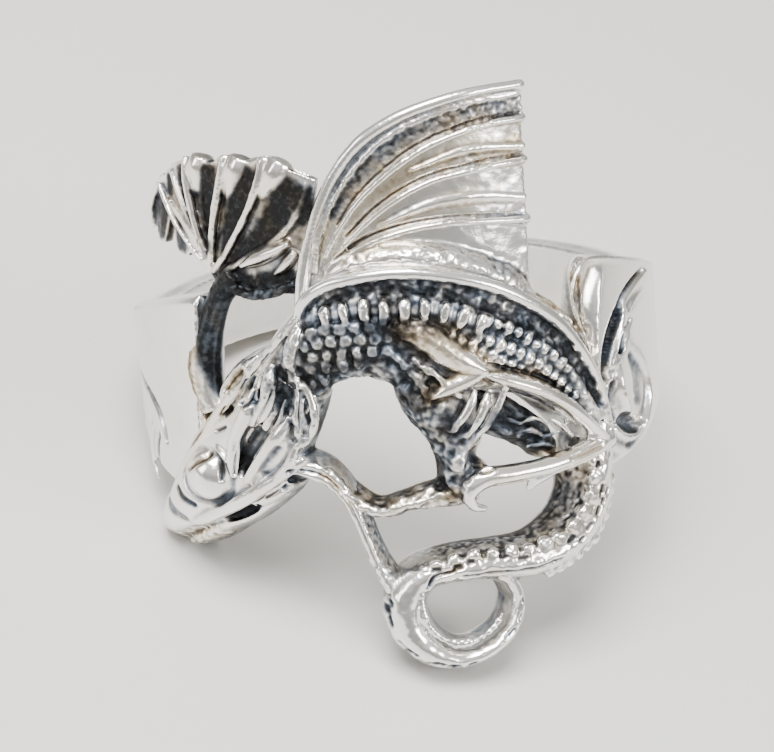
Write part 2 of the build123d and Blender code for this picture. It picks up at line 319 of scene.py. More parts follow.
# what is left of a place once its height along the finger is taken away points straight outwards
place = add(bead_tree, "GeometryNodeInputPosition")
offset = add(
    bead_tree, "ShaderNodeVectorMath", {"operation": "SUBTRACT"}, i0=place.outputs[0], i1=tuple(CENTRE),
)
height = add(
    bead_tree, "ShaderNodeVectorMath", {"operation": "DOT_PRODUCT"}, i0=offset.outputs[0], i1=tuple(FINGER),
)
lift = add(
    bead_tree, "ShaderNodeVectorMath", {"operation": "SCALE"}, i0=tuple(FINGER),
    Scale=height.outputs["Value"],
)
stand = add(
    bead_tree, "ShaderNodeVectorMath", {"operation": "SUBTRACT"}, i0=offset.outputs[0], i1=lift.outputs[0],
)
upright = add(bead_tree, "FunctionNodeAlignRotationToVector", {"axis": "Z"}, Vector=stand.outputs[0])
turned = add(bead_tree, "FunctionNodeAlignRotationToVector", {"axis": "X", "pivot_axis": "Z"},
             Rotation=upright.outputs[0], Vector=spots.outputs["Tangent"])

# each pebble's size is the radius stored on its point times a random number about 1
least = add(bead_tree, "ShaderNodeMath", {"operation": "SUBTRACT"}, i0=1.0, i1=entry.outputs["Variation"])
most = add(bead_tree, "ShaderNodeMath", {"operation": "ADD"}, i0=1.0, i1=entry.outputs["Variation"])
chance = add(bead_tree, "FunctionNodeRandomValue", {"data_type": "FLOAT"}, i2=least.outputs[0],
             i3=most.outputs[0], Seed=entry.outputs["Seed"])
size = add(bead_tree, "ShaderNodeMath", {"operation": "MULTIPLY"},
           i0=add(bead_tree, "GeometryNodeInputRadius").outputs[0], i1=chance.outputs[1])
shape = add(
    bead_tree, "ShaderNodeVectorMath", {"operation": "SCALE"}, i0=entry.outputs["Shape"],
    Scale=size.outputs[0],
)

# the pebble is a small cube whose points are drawn out to a ball as far as its roundness says
cube = add(bead_tree, "GeometryNodeMeshCube", Size=(2.0, 2.0, 2.0), i1=4, i2=4, i3=4)
corner = add(bead_tree, "GeometryNodeInputPosition")
round_spot = add(bead_tree, "ShaderNodeVectorMath", {"operation": "NORMALIZE"}, i0=corner.outputs[0])
flat_spot = add(bead_tree, "ShaderNodeVectorMath", {"operation": "SCALE"}, i0=corner.outputs[0], Scale=0.82)
mixed = add(bead_tree, "ShaderNodeMix", {"data_type": "VECTOR"}, i0=entry.outputs["Roundness"],
            i4=flat_spot.outputs[0], i5=round_spot.outputs[0])
pebble = add(bead_tree, "GeometryNodeSetPosition", Geometry=cube.outputs[0], Position=mixed.outputs[1])
row = add(
    bead_tree, "GeometryNodeInstanceOnPoints", Points=spots.outputs["Points"], Instance=pebble.outputs[0],
    Rotation=turned.outputs[0], Scale=shape.outputs[0],
)
close_tree(bead_tree, row.outputs[0])


# %% Wires and beads
def wires(paths):
    """Round wires along rows of (along, up, rise, radius)."""
    return run_tree(wire_tree, guides(paths))


def beads(paths, spacing, shape=(1.0, 1.0, 1.0), variation=0.15, roundness=1.0, seed=1):
    """Pebbles, or blocks when their roundness is low, along rows of (along, up, rise, radius)."""
    return run_tree(bead_tree, guides(paths), Spacing=spacing * MM, Shape=shape, Variation=variation,
                    Roundness=roundness, Seed=seed)


trial = beads([((0, 0, 2, 0.3), (3, 0, 2, 0.3))], 0.6)
print("a row of beads has", len(trial[1]), "triangles")

# %% [markdown]
# ## From wax to one skin
# Casting turns all the strands into one piece of metal with soft inner corners. The Remesh modifier
# does the same in its voxel mode: it keeps only the outer skin of everything that overlaps. A boolean
# union would keep the corners knife sharp, which no cast ring has. Tiny bubbles that the voxels leave
# in pockets are deleted. A few rounds of smoothing then take the voxel steps away, and the inside
# is brought back to the true round of the finger hole.


# %% Weld
def edges_of(mesh):
    return numbers_of(mesh.edges, "vertices", 2, int)


def normals_of(mesh):
    return numbers_of(mesh.vertices, "normal", 3)


def move_points(mesh, places):
    """Puts the points of a mesh at new places."""
    mesh.vertices.foreach_set("co", places.ravel())
    mesh.update()


def averaged(values, edges):
    """For each point, the mean of its neighbours' values."""
    count = np.bincount(edges.ravel(), minlength=len(values))
    total = np.empty_like(values)
    for k in range(values.shape[1]):
        column = values[:, k]
        total[:, k] = np.bincount(edges[:, 0], column[edges[:, 1]], len(values))
        total[:, k] += np.bincount(edges[:, 1], column[edges[:, 0]], len(values))
    return total / np.maximum(count, 1)[:, None]


def relaxed(values, edges, rounds, share=0.5):
    """Values drawn towards the mean of their neighbours, by a share of the way in each round."""
    for _ in range(rounds):
        values = values + share * (averaged(values, edges) - values)
    return values


def mesh_from(name, shapes):
    """One mesh that holds all the given (points, triangles) shapes."""
    start = np.cumsum([0] + [len(points) for points, _ in shapes[:-1]])
    mesh = bpy.data.meshes.new(name)
    points = np.vstack([points for points, _ in shapes])
    tris = np.vstack([tris + first for (_, tris), first in zip(shapes, start)])
    mesh.from_pydata(points.tolist(), [], tris.tolist())
    return mesh


def drop_crumbs(mesh, fewest=200):
    """Deletes the tiny closed bubbles that the weld leaves in pockets between strands."""
    shape = bmesh.new()
    shape.from_mesh(mesh)
    seen, crumbs = set(), []
    for start in shape.verts:
        if start in seen:
            continue
        island = [start]
        seen.add(start)
        for point in island:  # the list grows while it is walked
            for edge in point.link_edges:
                other = edge.other_vert(point)
                if other not in seen:
                    seen.add(other)
                    island.append(other)
        if len(island) < fewest:
            crumbs += island
    bmesh.ops.delete(shape, geom=crumbs, context="VERTS")
    shape.to_mesh(mesh)
    shape.free()


def weld(name, shapes, voxel, rounds=3):
    """One closed skin around all the shapes, as an object with plain mesh data."""
    raw = placed(name, mesh_from(name, shapes))
    remesh = raw.modifiers.new("weld", "REMESH")
    remesh.mode = "VOXEL"
    remesh.voxel_size = voxel * MM
    mesh = baked(raw)
    bpy.data.objects.remove(raw)
    drop_crumbs(mesh)
    points = relaxed(points_of(mesh), edges_of(mesh), rounds)
    along, up, rise = unskin(points)
    rise = np.where(rise < 1.5 * voxel, 0.0, rise)  # what the smoothing left near the finger lies on it
    move_points(mesh, skin(along, up, rise))
    print(name, "is one skin with", len(mesh.vertices), "points")
    return placed(name, mesh)


# %% [markdown]
# ## Carving and cast texture
# Grooves, slots, nostrils and pits are cut after the weld, each as one stroke of a tool with a
# half-width and a depth. Carving with boolean cutters would need clean meshes and gives hard
# walls. Moving the points of the skin along their normals is quicker and looks hand cut. Where the
# casting is craggy, the same strokes carry a rough random height instead of a depth.


# %% Carving strokes
PAIRS_AT_ONCE = 4000000  # distances that are held in memory together
LEAST_METAL = 0.35  # no stroke leaves less over the finger
BORE_SKIN = 0.05  # what lies lower is the wall of the finger hole


def stroke_share(along, up, rows, step=0.06):
    """How strongly a stroke of (along, up, half-width) rows covers each point, from 0 to 1."""
    line = smooth(rows, step)
    reach = line[:, 2].max() * 2.5
    low, high = line[:, :2].min(axis=0) - reach, line[:, :2].max(axis=0) + reach
    near = np.flatnonzero((along > low[0]) & (along < high[0]) & (up > low[1]) & (up < high[1]))
    share = np.zeros(len(along))
    for part in np.array_split(near, max(len(near) * len(line) // PAIRS_AT_ONCE, 1)):
        gap = np.hypot(along[part, None] - line[None, :, 0], up[part, None] - line[None, :, 1])
        share[part] = np.exp(-((gap / line[None, :, 2]) ** 3)).max(axis=1)
    return share


def broad(rows, width):
    """The path of the given rows as a stroke of one half-width."""
    return [row[:2] + (width,) for row in rows]


def cast_noise(points, size, seed=1):
    """Smooth random heights from -1 to 1 that change over the given size in millimetres."""
    cells = 32  # the heights repeat after so many cells, too far apart to be noticed
    heights = np.random.default_rng(seed).uniform(-1, 1, (cells, cells, cells))
    spot = points / (MM * size)
    base = np.floor(spot).astype(int)
    ease = (spot - base) ** 2 * (3 - 2 * (spot - base))
    total = np.zeros(len(points))
    for corner in np.ndindex(2, 2, 2):
        share = np.prod(np.where(np.array(corner) == 1, ease, 1 - ease), axis=1)
        total += share * heights[tuple(((base + corner) % cells).T)]
    return total


def carve(piece, strokes, rough=(), polished=(), grain=0.012):
    """Cuts (depth, darkness, rows) strokes and roughens (height, size, darkness, rows) ones.

    Returns how dark the strokes stay. Depths and heights are in millimetres, and a negative
    depth raises a soft ridge. Along the polished rows the roughness and most of the darkness are
    gone again. The grain is the faint unevenness of the whole casting.
    """
    mesh = piece.data
    points, edges, normal = points_of(mesh), edges_of(mesh), normals_of(mesh)
    along, up, rise = unskin(points)
    outer = np.clip((normal * outward(points)).sum(axis=1) * 1.6 - 0.1, 0, 1)  # 1 on top, 0 on walls
    free = np.clip((rise - 0.25) * 3, 0, 1)  # 0 where the metal lies on the finger
    shift, paint, shine = np.zeros(len(points)), np.zeros(len(points)), np.zeros(len(points))
    for rows in polished:
        shine = np.maximum(shine, stroke_share(along, up, rows) * outer)
    for depth, dark, rows in strokes:
        share = stroke_share(along, up, rows) * outer
        shift -= depth * share
        paint = np.where(share > 0.02, paint + dark * share, paint)
    for height, size, dark, rows in rough:
        share = np.minimum(stroke_share(along, up, rows) * 1.5, 1)
        crag = cast_noise(points, size, 3) + 0.6 * cast_noise(points, size * 0.45, 4)
        shift += height * share * free * crag * (1 - shine)
        paint += dark * share * (1 - shine)
    uneven = cast_noise(points, 0.8, 5) + 0.5 * cast_noise(points, 0.3, 6)
    shift += grain * free * (1 - 0.6 * shine) * uneven
    paint -= 0.3 * shine
    shift = np.maximum(shift, -np.maximum(rise - LEAST_METAL, 0))
    points = points + normal * (shift * MM)[:, None]
    move_points(mesh, relaxed(points, edges, 1, 0.4))
    print(piece.name, "is cut in by up to", round(-shift.min(), 2), "mm")
    return paint


# %% [markdown]
# ## The dark finish
# Liver of sulphur blackens silver all over, and the polishing wheel then only reaches what stands
# proud. So the darkness of a point follows from how deep it lies below the mean of its
# neighbourhood, near and far, from how low its wall is, and from the strokes. Some bare metal has
# a warm tarnish instead of a blue one, which is kept as a second number. A third one says where
# the metal is brushed. Vertex paint by hand would have to be done again after each change of form.


# %% Finish
NEAR_DEPTH, FAR_DEPTH = 0.02, 0.12  # so far below its near or far neighbourhood, a point counts as deep


def finish_skin(piece, paint, warm=(), base=0.0, near_gain=0.6, wide_gain=0.35, wall_gain=0.5):
    """Stores how black, how warm and how brushed each point is, in attributes that the metal reads."""
    mesh = piece.data
    points, edges, normal = points_of(mesh), edges_of(mesh), normals_of(mesh)
    near = relaxed(points, edges, 8)
    far = relaxed(near, edges, 50)
    deep = ((near - points) * normal).sum(axis=1) / MM
    wide = ((far - points) * normal).sum(axis=1) / MM
    along, up, rise = unskin(points)
    facing = (normal * outward(points)).sum(axis=1)
    wall = np.clip(1 - np.abs(facing) * 1.4, 0, 1) * np.clip(1.9 - rise, 0, 1) * np.clip(rise * 5, 0, 1)
    black = base + near_gain * np.tanh(deep / NEAR_DEPTH)
    black = black + wide_gain * np.tanh(np.maximum(wide, 0) / FAR_DEPTH)
    black = black + wall_gain * wall + paint + 0.08 * cast_noise(points, 1.1, 7)
    black = np.where(rise < BORE_SKIN, np.minimum(black, 0.1), black)
    black = relaxed(np.clip(black, 0, 1)[:, None], edges, 2)[:, 0]
    glow = np.zeros(len(points))
    for share, rows in warm:
        glow = np.maximum(glow, share * stroke_share(along, up, rows))
    satin = (rise < BORE_SKIN).astype(float)  # the finger hole is brushed, not mirror bright
    for name, values in (("black", black), ("warm", glow), ("satin", satin)):
        mesh.attributes.new(name, "FLOAT", "POINT").data.foreach_set("value", values.astype(np.float32))
    hair = 0.001 * MM  # nothing reaches past the solid's own box
    mesh.shade_smooth()
    move_points(mesh, np.clip(points, np.array(cad_box[0]) + hair, np.array(cad_box[1]) - hair))
    tris = sum(len(face.vertices) - 2 for face in mesh.polygons)
    print(piece.name, tris, "triangles, mean darkness", round(float(black.mean()), 2))


# %% [markdown]
# ## The band and its shoulders
# The back of the ring is a plain flat band. Towards the dragon it widens into two smooth
# shoulders. The right one stands a little higher and is carved as a flaring petal, a deep slot, a
# small petal and a curl. On the left one only a slot and a faint curl show beside the head. The
# band could be turned as a ring and then bent wider, but one closed sweep round the finger gives
# each edge its own line. Petals and curls are strands and wires laid on it, and the plain outside
# is polished truly round.

# %% Band
BAND_HALF = 1.65  # half the width of the plain back
SHOULDER_TOP, SHOULDER_DROP = 4.6, 4.9  # how far the shoulders reach up and down the finger
RIGHT_HIGHER = 0.4  # the right shoulder's top stands this much over the left one's
FLARE_START, FLARE_LENGTH = -2.9, 11.76  # forward of the finger's middle, where the band widens
SOFTNESS = 0.05  # share of the widening over which it starts
ROUNDING = 0.25  # radius of the band's edges
LIP = 1.05  # the right petal's edge stands this free of the finger


def band():
    """The closed sweep round the back of the finger, from one shoulder to the other."""
    share = np.linspace(0, 1, 36)
    right_end = np.interp(
        share, (0, 0.4, 0.54, 0.68, 0.82, 0.92, 1), (8.9, 8.75, 8.65, 8.35, 7.95, 7.85, 8.3),
    )
    left_end = np.interp(share, (0, 0.4, 0.6, 0.75, 1), (-9.2, -9.2, -9.1, -8.9, -8.7))
    turn = ROUND * MIDDLE
    along = right_end + (turn + left_end - right_end) * np.linspace(0, 1, 300)[:, None]
    angle = along / MIDDLE
    reach = (np.cos(angle) * (BORE + WALL) - FLARE_START) / FLARE_LENGTH
    front = np.clip(SOFTNESS * np.logaddexp(0, reach / SOFTNESS), 0, 1)  # 0 at the back, 1 at the dragon
    shoulder = np.where(along < turn / 2, SHOULDER_TOP + RIGHT_HIGHER, SHOULDER_TOP)
    top = BAND_HALF + (shoulder - BAND_HALF) * front**1.05
    bottom = -BAND_HALF - (SHOULDER_DROP - BAND_HALF) * np.sin(front * math.pi / 2) ** 1.1
    height = bottom + (top - bottom) * share
    edge = np.minimum(height - bottom, top - height)
    corner = np.sqrt(np.clip(1 - (1 - np.clip(edge / ROUNDING, 0, 1)) ** 2, 0, 1))
    outer = WALL - ROUNDING * 1.3 * (1 - corner)
    lip = np.clip(1 - (along - right_end) / 1.6, 0, 1) ** 2 * np.clip(share * 3 - 1.2, 0, 1)
    inner = 0.12 * (1 - corner) + LIP * lip
    return slab((along, height, outer), (along, height, inner))


def polish_round(piece, reach):
    """Takes a piece's outside to a true round, wherever it is uneven by less than the reach."""
    along, up, rise = unskin(points_of(piece.data))
    off = rise - WALL
    rise = WALL + off * np.clip(np.abs(off) / reach - 0.3, 0, 1)
    move_points(piece.data, skin(along, up, rise))


print("the band's form has", len(band()[1]), "triangles")

# %% Lines of the shoulders
# wires of (along, up, rise, radius), strands of (along, up, width, crest), cuts of (along, up, half-width)
LEAF_RIM = (
    (13, 3.45, 1.5, 0.1), (11.6, 3.88, 1.5, 0.12), (10.3, 4.25, 1.55, 0.14), (9, 4.6, 1.6, 0.15),
    (8.1, 4.6, 1.7, 0.15), (7.5, 4, 1.75, 0.14), (7.35, 3.2, 1.75, 0.13), (7.6, 2.3, 1.75, 0.12),
    (7.95, 1.4, 1.75, 0.12), (8.2, 0.5, 1.75, 0.11), (8.4, -0.6, 1.7, 0.1),
)
LEAF_RIDGE = (
    (9.45, 4.4, 0.4, 1.5), (9.2, 3.8, 0.7, 1.75), (8.85, 2.9, 0.75, 1.9), (8.6, 1.8, 0.65, 1.95),
    (8.5, 0.5, 0.5, 1.98), (8.5, -1.2, 0.42, 1.98), (8.75, -2.8, 0.4, 1.9), (9, -3.9, 0.3, 1.75),
)
SMALL_PETAL = (
    (11, 2.3, 0.25, 1.7), (10.4, 1.75, 0.5, 1.95), (9.95, 1.1, 0.55, 2.1), (9.6, 0.4, 0.45, 2.05),
    (9.35, -0.3, 0.25, 1.9),
)
SLOT_EDGE = ((13.4, 2.1, 1.6, 0.08), (12, 2.05, 1.65, 0.1), (11, 1.75, 1.75, 0.1), (10.35, 1.2, 1.85, 0.09))
PRONG = ((11.3, 0.75, 1.6, 0.08), (10.5, 0.3, 1.75, 0.13), (9.7, -0.25, 1.8, 0.15), (9.3, -0.9, 1.75, 0.12))
CURL_EDGE = (
    (10.9, 0.25, 1.6, 0.1), (11.8, -0.55, 1.65, 0.14), (12.5, -1.6, 1.7, 0.17), (12.5, -2.6, 1.75, 0.2),
    (11.9, -3.4, 1.75, 0.2), (11, -3.75, 1.7, 0.18), (10.1, -3.6, 1.7, 0.15), (9.5, -3, 1.7, 0.12),
)
CURL_PETAL = ((10.3, -0.2, 0.2, 1.7), (9.95, -1, 0.55, 2), (10.15, -2, 0.6, 2.05), (10.8, -2.9, 0.3, 1.8))
SLOT = (
    (13, 2.95, 0.1), (12.2, 2.9, 0.13), (10.9, 2.5, 0.14), (10, 1.7, 0.14), (9.45, 0.9, 0.14),
    (9.15, 0, 0.12), (9.05, -1, 0.1),
)
LEAF_HOLLOW = ((8.6, 4.2, 0.35), (8.15, 3.4, 0.36), (8.05, 2.5, 0.26), (8.2, 1.5, 0.14))
FISH_TAIL = (
    ((9.2, -3.6, 1.7, 0.14), (8.9, -4.1, 1.6, 0.18), (8.4, -4.5, 1.5, 0.1)),
    ((9.2, -3.7, 1.7, 0.14), (9.8, -4.1, 1.6, 0.18), (10.8, -4.5, 1.5, 0.1)),
)
WEB = (
    (5.3, 3.75, 0.6, 1.3), (6.3, 3.1, 1, 1.4), (7.2, 2.2, 1.1, 1.5), (7.9, 1, 0.9, 1.5),
    (8.3, -0.4, 0.5, 1.5),
)
LEFT_CURL = (
    (-12.9, -1.9, 1.58, 0.1), (-13.6, -2.9, 1.6, 0.16), (-13.8, -4, 1.6, 0.16), (-13.3, -4.9, 1.58, 0.12),
)

print("the petal's rim runs through", len(LEAF_RIM), "spots and the curl's through", len(CURL_EDGE))

# %% Band in one skin
shoulder_shapes = [band()] + [strand(rows) for rows in (LEAF_RIDGE, SMALL_PETAL, CURL_PETAL, WEB)]
shoulder_shapes.append(wires((LEAF_RIM, SLOT_EDGE, PRONG, CURL_EDGE, LEFT_CURL) + FISH_TAIL))
shoulder_shapes.append(ball(13.4, 2.8, 1.55, 0.2))
band_piece = weld("band_and_shoulders", shoulder_shapes, voxel=0.112, rounds=6)
polish_round(band_piece, 0.06)

# %% Carving of the band
# strokes of (depth, darkness, path of (along, up, half-width))
BAND_CUTS = [
    (0.5, 0.75, SLOT), (0.14, 0.0, LEAF_HOLLOW),
    (0, 0.55, ((13, 2.95, 0.2), (12.2, 2.9, 0.24), (10.9, 2.5, 0.2))),
    (0.3, 0.5, ((11.3, 1.25, 0.08), (10.7, 0.85, 0.13), (10.1, 0.25, 0.12))),
    (0.4, 0.1, ((10.1, -2.9, 0.25), (10.7, -3.2, 0.34), (11.4, -3.5, 0.25))),
    (0, 0.4, ((10.3, -3.3, 0.1), (10.9, -3.55, 0.14), (11.5, -3.6, 0.1))),
    (0.1, 0.25, ((11.1, -0.3, 0.2), (11.6, -1.3, 0.35), (11.6, -2.3, 0.35))),
    (0.3, 0.8, ((9.6, -1, 0.1), (9.4, -1.9, 0.14), (9.6, -2.8, 0.16))),
    (0.45, 0.9, (
        (-15.2, -0.5, 0.07), (-13.9, -0.8, 0.12), (-13, -1.15, 0.16), (-12.2, -1.8, 0.16),
        (-11.9, -2.7, 0.1),
    )),
    (0.12, 0.35, ((-12.7, -2.6, 0.12), (-13.1, -3.4, 0.16), (-13.1, -4.3, 0.14))),
    (0, 0.5, ((10.4, -4.1, 0.2), (11.2, -4.4, 0.25))),
]
# rough parts of (height, size of a crag, darkness, path of (along, up, half-width))
BAND_ROUGH = [
    (0.09, 0.32, 0.5, (
        (5.4, 3.7, 0.3), (6.4, 3.1, 0.45), (7.2, 2.2, 0.4), (7.9, 1, 0.3), (8.2, -0.3, 0.2),
    )),
    (0, 0.3, -0.4, ((8.5, 4.5, 0.4), (7.8, 4, 0.5), (7.6, 3.2, 0.5), (7.7, 2.4, 0.35))),
]
paint = carve(band_piece, BAND_CUTS, rough=BAND_ROUGH, grain=0.0015)
# warm tarnish of (share, path of (along, up, half-width))
BAND_WARM = [(0.7, LEAF_HOLLOW), (1, ((5.4, 3.7, 0.6), (7.2, 2.2, 0.6), (8.2, -0.3, 0.4)))]
finish_skin(band_piece, paint, warm=BAND_WARM, wide_gain=0.0, wall_gain=0.25)

# %% [markdown]
# ## The head
# The head points down to the left. It has a narrow snout, one big round eye under a heavy lid, and
# a crest of spines that sweep back over the neck with deep channels between them. It could be
# sculpted by hand from one lump, but then no part could be moved alone. So the skull is a strand,
# the eye a ball, and the spines are thick wires half sunk in the skull.

# %% Lines of the head
# strands of (along, up, width, crest) and wires of (along, up, rise, radius)
SKULL = (
    (-12.4, -6.8, 0.5, 1.7), (-11.6, -6.2, 1.9, 2.2), (-10.2, -5.1, 2.8, 2.6), (-8.8, -3.9, 3.8, 2.75),
    (-7.4, -2.6, 4.4, 2.65), (-6.3, -1.4, 4.4, 2.45), (-5.3, -0.1, 3.9, 2.3), (-4.4, 1.2, 3.2, 2.15),
)
LOWER_JAW = (
    (-11.5, -7.1, 0.4, 1.2), (-10.4, -6.75, 0.8, 1.6), (-9.2, -6.2, 0.9, 1.7), (-8, -5.6, 0.8, 1.7),
    (-6.8, -5.05, 0.65, 1.65), (-5.8, -4.45, 0.5, 1.6), (-5, -3.9, 0.4, 1.5),
)
JAW_HINGE = ((-6.5, -4.5, 0.7, 1.8), (-5.6, -3.95, 1.0, 1.95), (-4.8, -3.3, 0.9, 1.85))
print("the skull is widest at", max(row[2] for row in SKULL), "mm")

# %% Lines of the spines and the eye
# wires of (along, up, rise, radius), with the ears, the temple and the strut as strands again
SPINES = (
    (
        (-5.55, 0.9, 2.3, 0.16), (-5.75, 0.2, 2.5, 0.31), (-6.05, -0.5, 2.55, 0.34),
        (-6.4, -1.2, 2.6, 0.32), (-6.55, -2, 2.62, 0.34), (-6.7, -3, 2.55, 0.25),
    ),
    (
        (-4.75, 2, 2.2, 0.16), (-4.85, 1.4, 2.45, 0.32), (-4.95, 0.7, 2.5, 0.36), (-5.25, 0, 2.5, 0.33),
        (-5.65, -0.8, 2.4, 0.18),
    ),
    ((-3.6, 3.6, 2.1, 0.15), (-3.85, 3, 2.3, 0.29), (-4.05, 2.3, 2.35, 0.31), (-4, 1.3, 2.2, 0.2)),
    (
        (-4.25, -0.2, 2.3, 0.15), (-4.6, -0.9, 2.45, 0.32), (-5.2, -1.7, 2.5, 0.34),
        (-5.8, -2.5, 2.5, 0.29), (-6.2, -3.2, 2.45, 0.2),
    ),
)
SPINE_LOOPS = (
    ((-3.95, -1.6, 2.1, 0.14), (-3.95, -0.5, 2.35, 0.2), (-3.75, 0.6, 2.4, 0.19), (-3.8, 1.5, 2.3, 0.14)),
    ((-3.95, -1.6, 2, 0.14), (-3.45, -0.9, 2.15, 0.19), (-3.3, 0.1, 2.2, 0.19), (-3.65, 1.3, 2.2, 0.14)),
)
BROW = (
    (-10.6, -4.3, 1.6, 0.16), (-9.4, -2.95, 2, 0.2), (-8.2, -1.45, 2.15, 0.22), (-7, 0.05, 2.25, 0.22),
    (-5.8, 1.5, 2.2, 0.2), (-4.6, 2.9, 2.1, 0.2), (-3.7, 4, 2, 0.22),
)
CHEEK_EDGE = (
    (-6.1, -3.2, 2.3, 0.14), (-5.3, -3.1, 2.3, 0.2), (-4.5, -2.4, 2.3, 0.21), (-4.05, -1.4, 2.25, 0.16),
)
LID = ((-7.5, -1.85, 2.5, 0.1), (-7.15, -2.1, 2.6, 0.15), (-6.9, -2.6, 2.6, 0.16), (-6.9, -3.2, 2.55, 0.1))
CHEEK = (
    (-9.9, -5.9, 1.9, 0.14), (-8.8, -5.35, 2.2, 0.26), (-7.4, -4.6, 2.35, 0.32), (-6.1, -3.8, 2.35, 0.32),
    (-4.9, -2.9, 2.2, 0.28), (-3.9, -2.2, 1.9, 0.22),
)
EARS = (
    ((-7.7, -0.1, 0.8, 1.7), (-7, 0.8, 1.2, 2), (-6.2, 1.6, 1, 1.9), (-5.7, 2.1, 0.4, 1.6)),
    ((-10, -2.7, 0.4, 1.6), (-9.1, -1.8, 0.8, 1.85), (-8.2, -0.9, 0.6, 1.8)),
)
TEMPLE = ((-4.3, -0.6, 0.6, 2.3), (-4.7, -1.5, 1.2, 2.55), (-5.3, -2.4, 1.2, 2.55), (-5.9, -3.2, 0.7, 2.4))
EYE = (-8.0, -3.15)
EYE_RISE, EYE_RADIUS = 2.05, 1.2
EYE_RING = [
    (EYE[0] + EYE_RADIUS * math.cos(turn), EYE[1] + EYE_RADIUS * math.sin(turn), 0.14)
    for turn in np.linspace(0, 6.28, 13)
]
STRUT = (
    (-5.2, -3.1, 1.1, 1.8), (-4.3, -2.85, 1.15, 1.7), (-3.4, -3.15, 1, 1.5), (-2.65, -3.95, 0.85, 1.5),
    (-2.15, -5, 0.7, 1.5), (-1.8, -6.1, 0.68, 1.5), (-1.4, -7.2, 0.8, 1.6), (-0.9, -8.2, 1, 1.75),
)
print("the head has", len(SPINES), "spines and", len(EARS), "ears")

# %% Head in one skin
head_shapes = [strand(rows) for rows in (SKULL, LOWER_JAW, JAW_HINGE, STRUT, TEMPLE) + EARS]
head_shapes.append(ball(*EYE, EYE_RISE, EYE_RADIUS))
head_shapes.append(wires(SPINES + SPINE_LOOPS + (BROW, LID, CHEEK, CHEEK_EDGE)))
head_piece = weld("head", head_shapes, voxel=0.06, rounds=5)

# %% Carving of the head
# strokes of (depth, darkness, path of (along, up, half-width))
HEAD_CUTS = [
    (0.4, 0.2, (
        (-6.45, -2.9, 0.12), (-5.95, -1.85, 0.27), (-5.35, -0.8, 0.26), (-4.8, 0.2, 0.2), (-4.5, 0.9, 0.14),
    )),
    (0.15, 0.3, ((-4.5, -0.3, 0.1), (-4.3, 0.5, 0.2), (-4.35, 1.3, 0.18), (-4.3, 2.2, 0.1))),
    (0.1, 0.2, ((-4.7, -1.6, 0.16), (-5.1, -2.2, 0.22), (-5.4, -2.7, 0.16))),
    (0.18, 0.5, ((-6.35, 0.1, 0.08), (-5.45, 0.55, 0.12), (-5.4, 1.3, 0.08))),
    (0.3, 0.8, ((-3.7, -1, 0.1), (-3.65, 0, 0.16), (-3.7, 0.9, 0.1))), (0.1, 0.12, EYE_RING),
    (0.1, 0.5, ((-10.8, -4.8, 0.2), (-10.3, -5.15, 0.32), (-9.7, -5.45, 0.24))),
    (0.1, 0.65, ((-9.7, -4, 0.14), (-9.35, -4.35, 0.22), (-8.8, -4.6, 0.16))),
    (0.2, 0.5, ((-8.5, -2.8, 0.12), (-8.2, -2.45, 0.19), (-7.75, -2.2, 0.14))),
    (0.12, 0.45, ((-7.3, -2.3, 0.05), (-7.15, -2.7, 0.07), (-7.15, -3.2, 0.05))),
    (0.25, 0.4, ((-7.9, -5.35, 0.08), (-7.3, -5.1, 0.17), (-6.7, -4.8, 0.17), (-6.2, -4.5, 0.08))),
    (0.15, 0.5, ((-5.7, -3.95, 0.1), (-5.25, -3.7, 0.14))),
    (0.18, 0.7, ((-7.15, -0.45, 0.08), (-6.9, -0.15, 0.13))),
    (0.18, 0.7, ((-6.05, 0.8, 0.1), (-5.8, 1.15, 0.13))),
    (0.15, 0.65, ((-5.1, 2, 0.09), (-4.85, 2.3, 0.11))),
    (0.12, 0.6, ((-7.5, -1.15, 0.07), (-7.1, -0.95, 0.09))),
    (0.3, 0.6, ((-7.2, 0.6, 0.25), (-6.5, 1.35, 0.28))),
    (0.1, 0.3, ((-9.4, -2.2, 0.14), (-8.5, -1.3, 0.16))),
    (0.2, 0.45, (
        (-4.4, -2.7, 0.14), (-3.4, -3.1, 0.18), (-2.6, -4, 0.16), (-2.1, -5.3, 0.13), (-1.6, -7, 0.12),
    )),
    (0.3, 0.8, ((-4.9, -3.6, 0.2), (-4.5, -3.3, 0.25))),
]
# rough parts of (height, size of a crag, darkness, path of (along, up, half-width))
HEAD_ROUGH = [
    (0.03, 0.35, 0.35, ((-6, 0.9, 0.4), (-5.3, 0.3, 0.6), (-4.7, 0, 0.5), (-4.6, 1.6, 0.6))),
    (0.05, 0.35, 0.45, ((-3.9, -1.2, 0.4), (-3.8, 0, 0.6), (-4.1, 1.6, 0.7), (-4, 2.8, 0.5))),
    (0.06, 0.3, 0.15, ((-10.6, -6.7, 0.4), (-8.6, -6, 0.4))),
    (0.05, 0.3, 0.15, ((-3.6, -3, 0.4), (-2.2, -4.6, 0.4), (-1.3, -7.4, 0.5))),
    (0.06, 0.4, 0.25, ((-7.4, 0.4, 0.5), (-6.2, 1.5, 0.5))),
]
# paths of (along, up, half-width) that the polishing wheel reached
HEAD_SHINE = [((-8.3, -3.4, 0.6), (-7.8, -3.4, 0.6)), ((-9.6, -3.2, 0.4), (-7.4, -1.2, 0.5))]
paint = carve(head_piece, HEAD_CUTS, rough=HEAD_ROUGH, polished=HEAD_SHINE, grain=0.014)
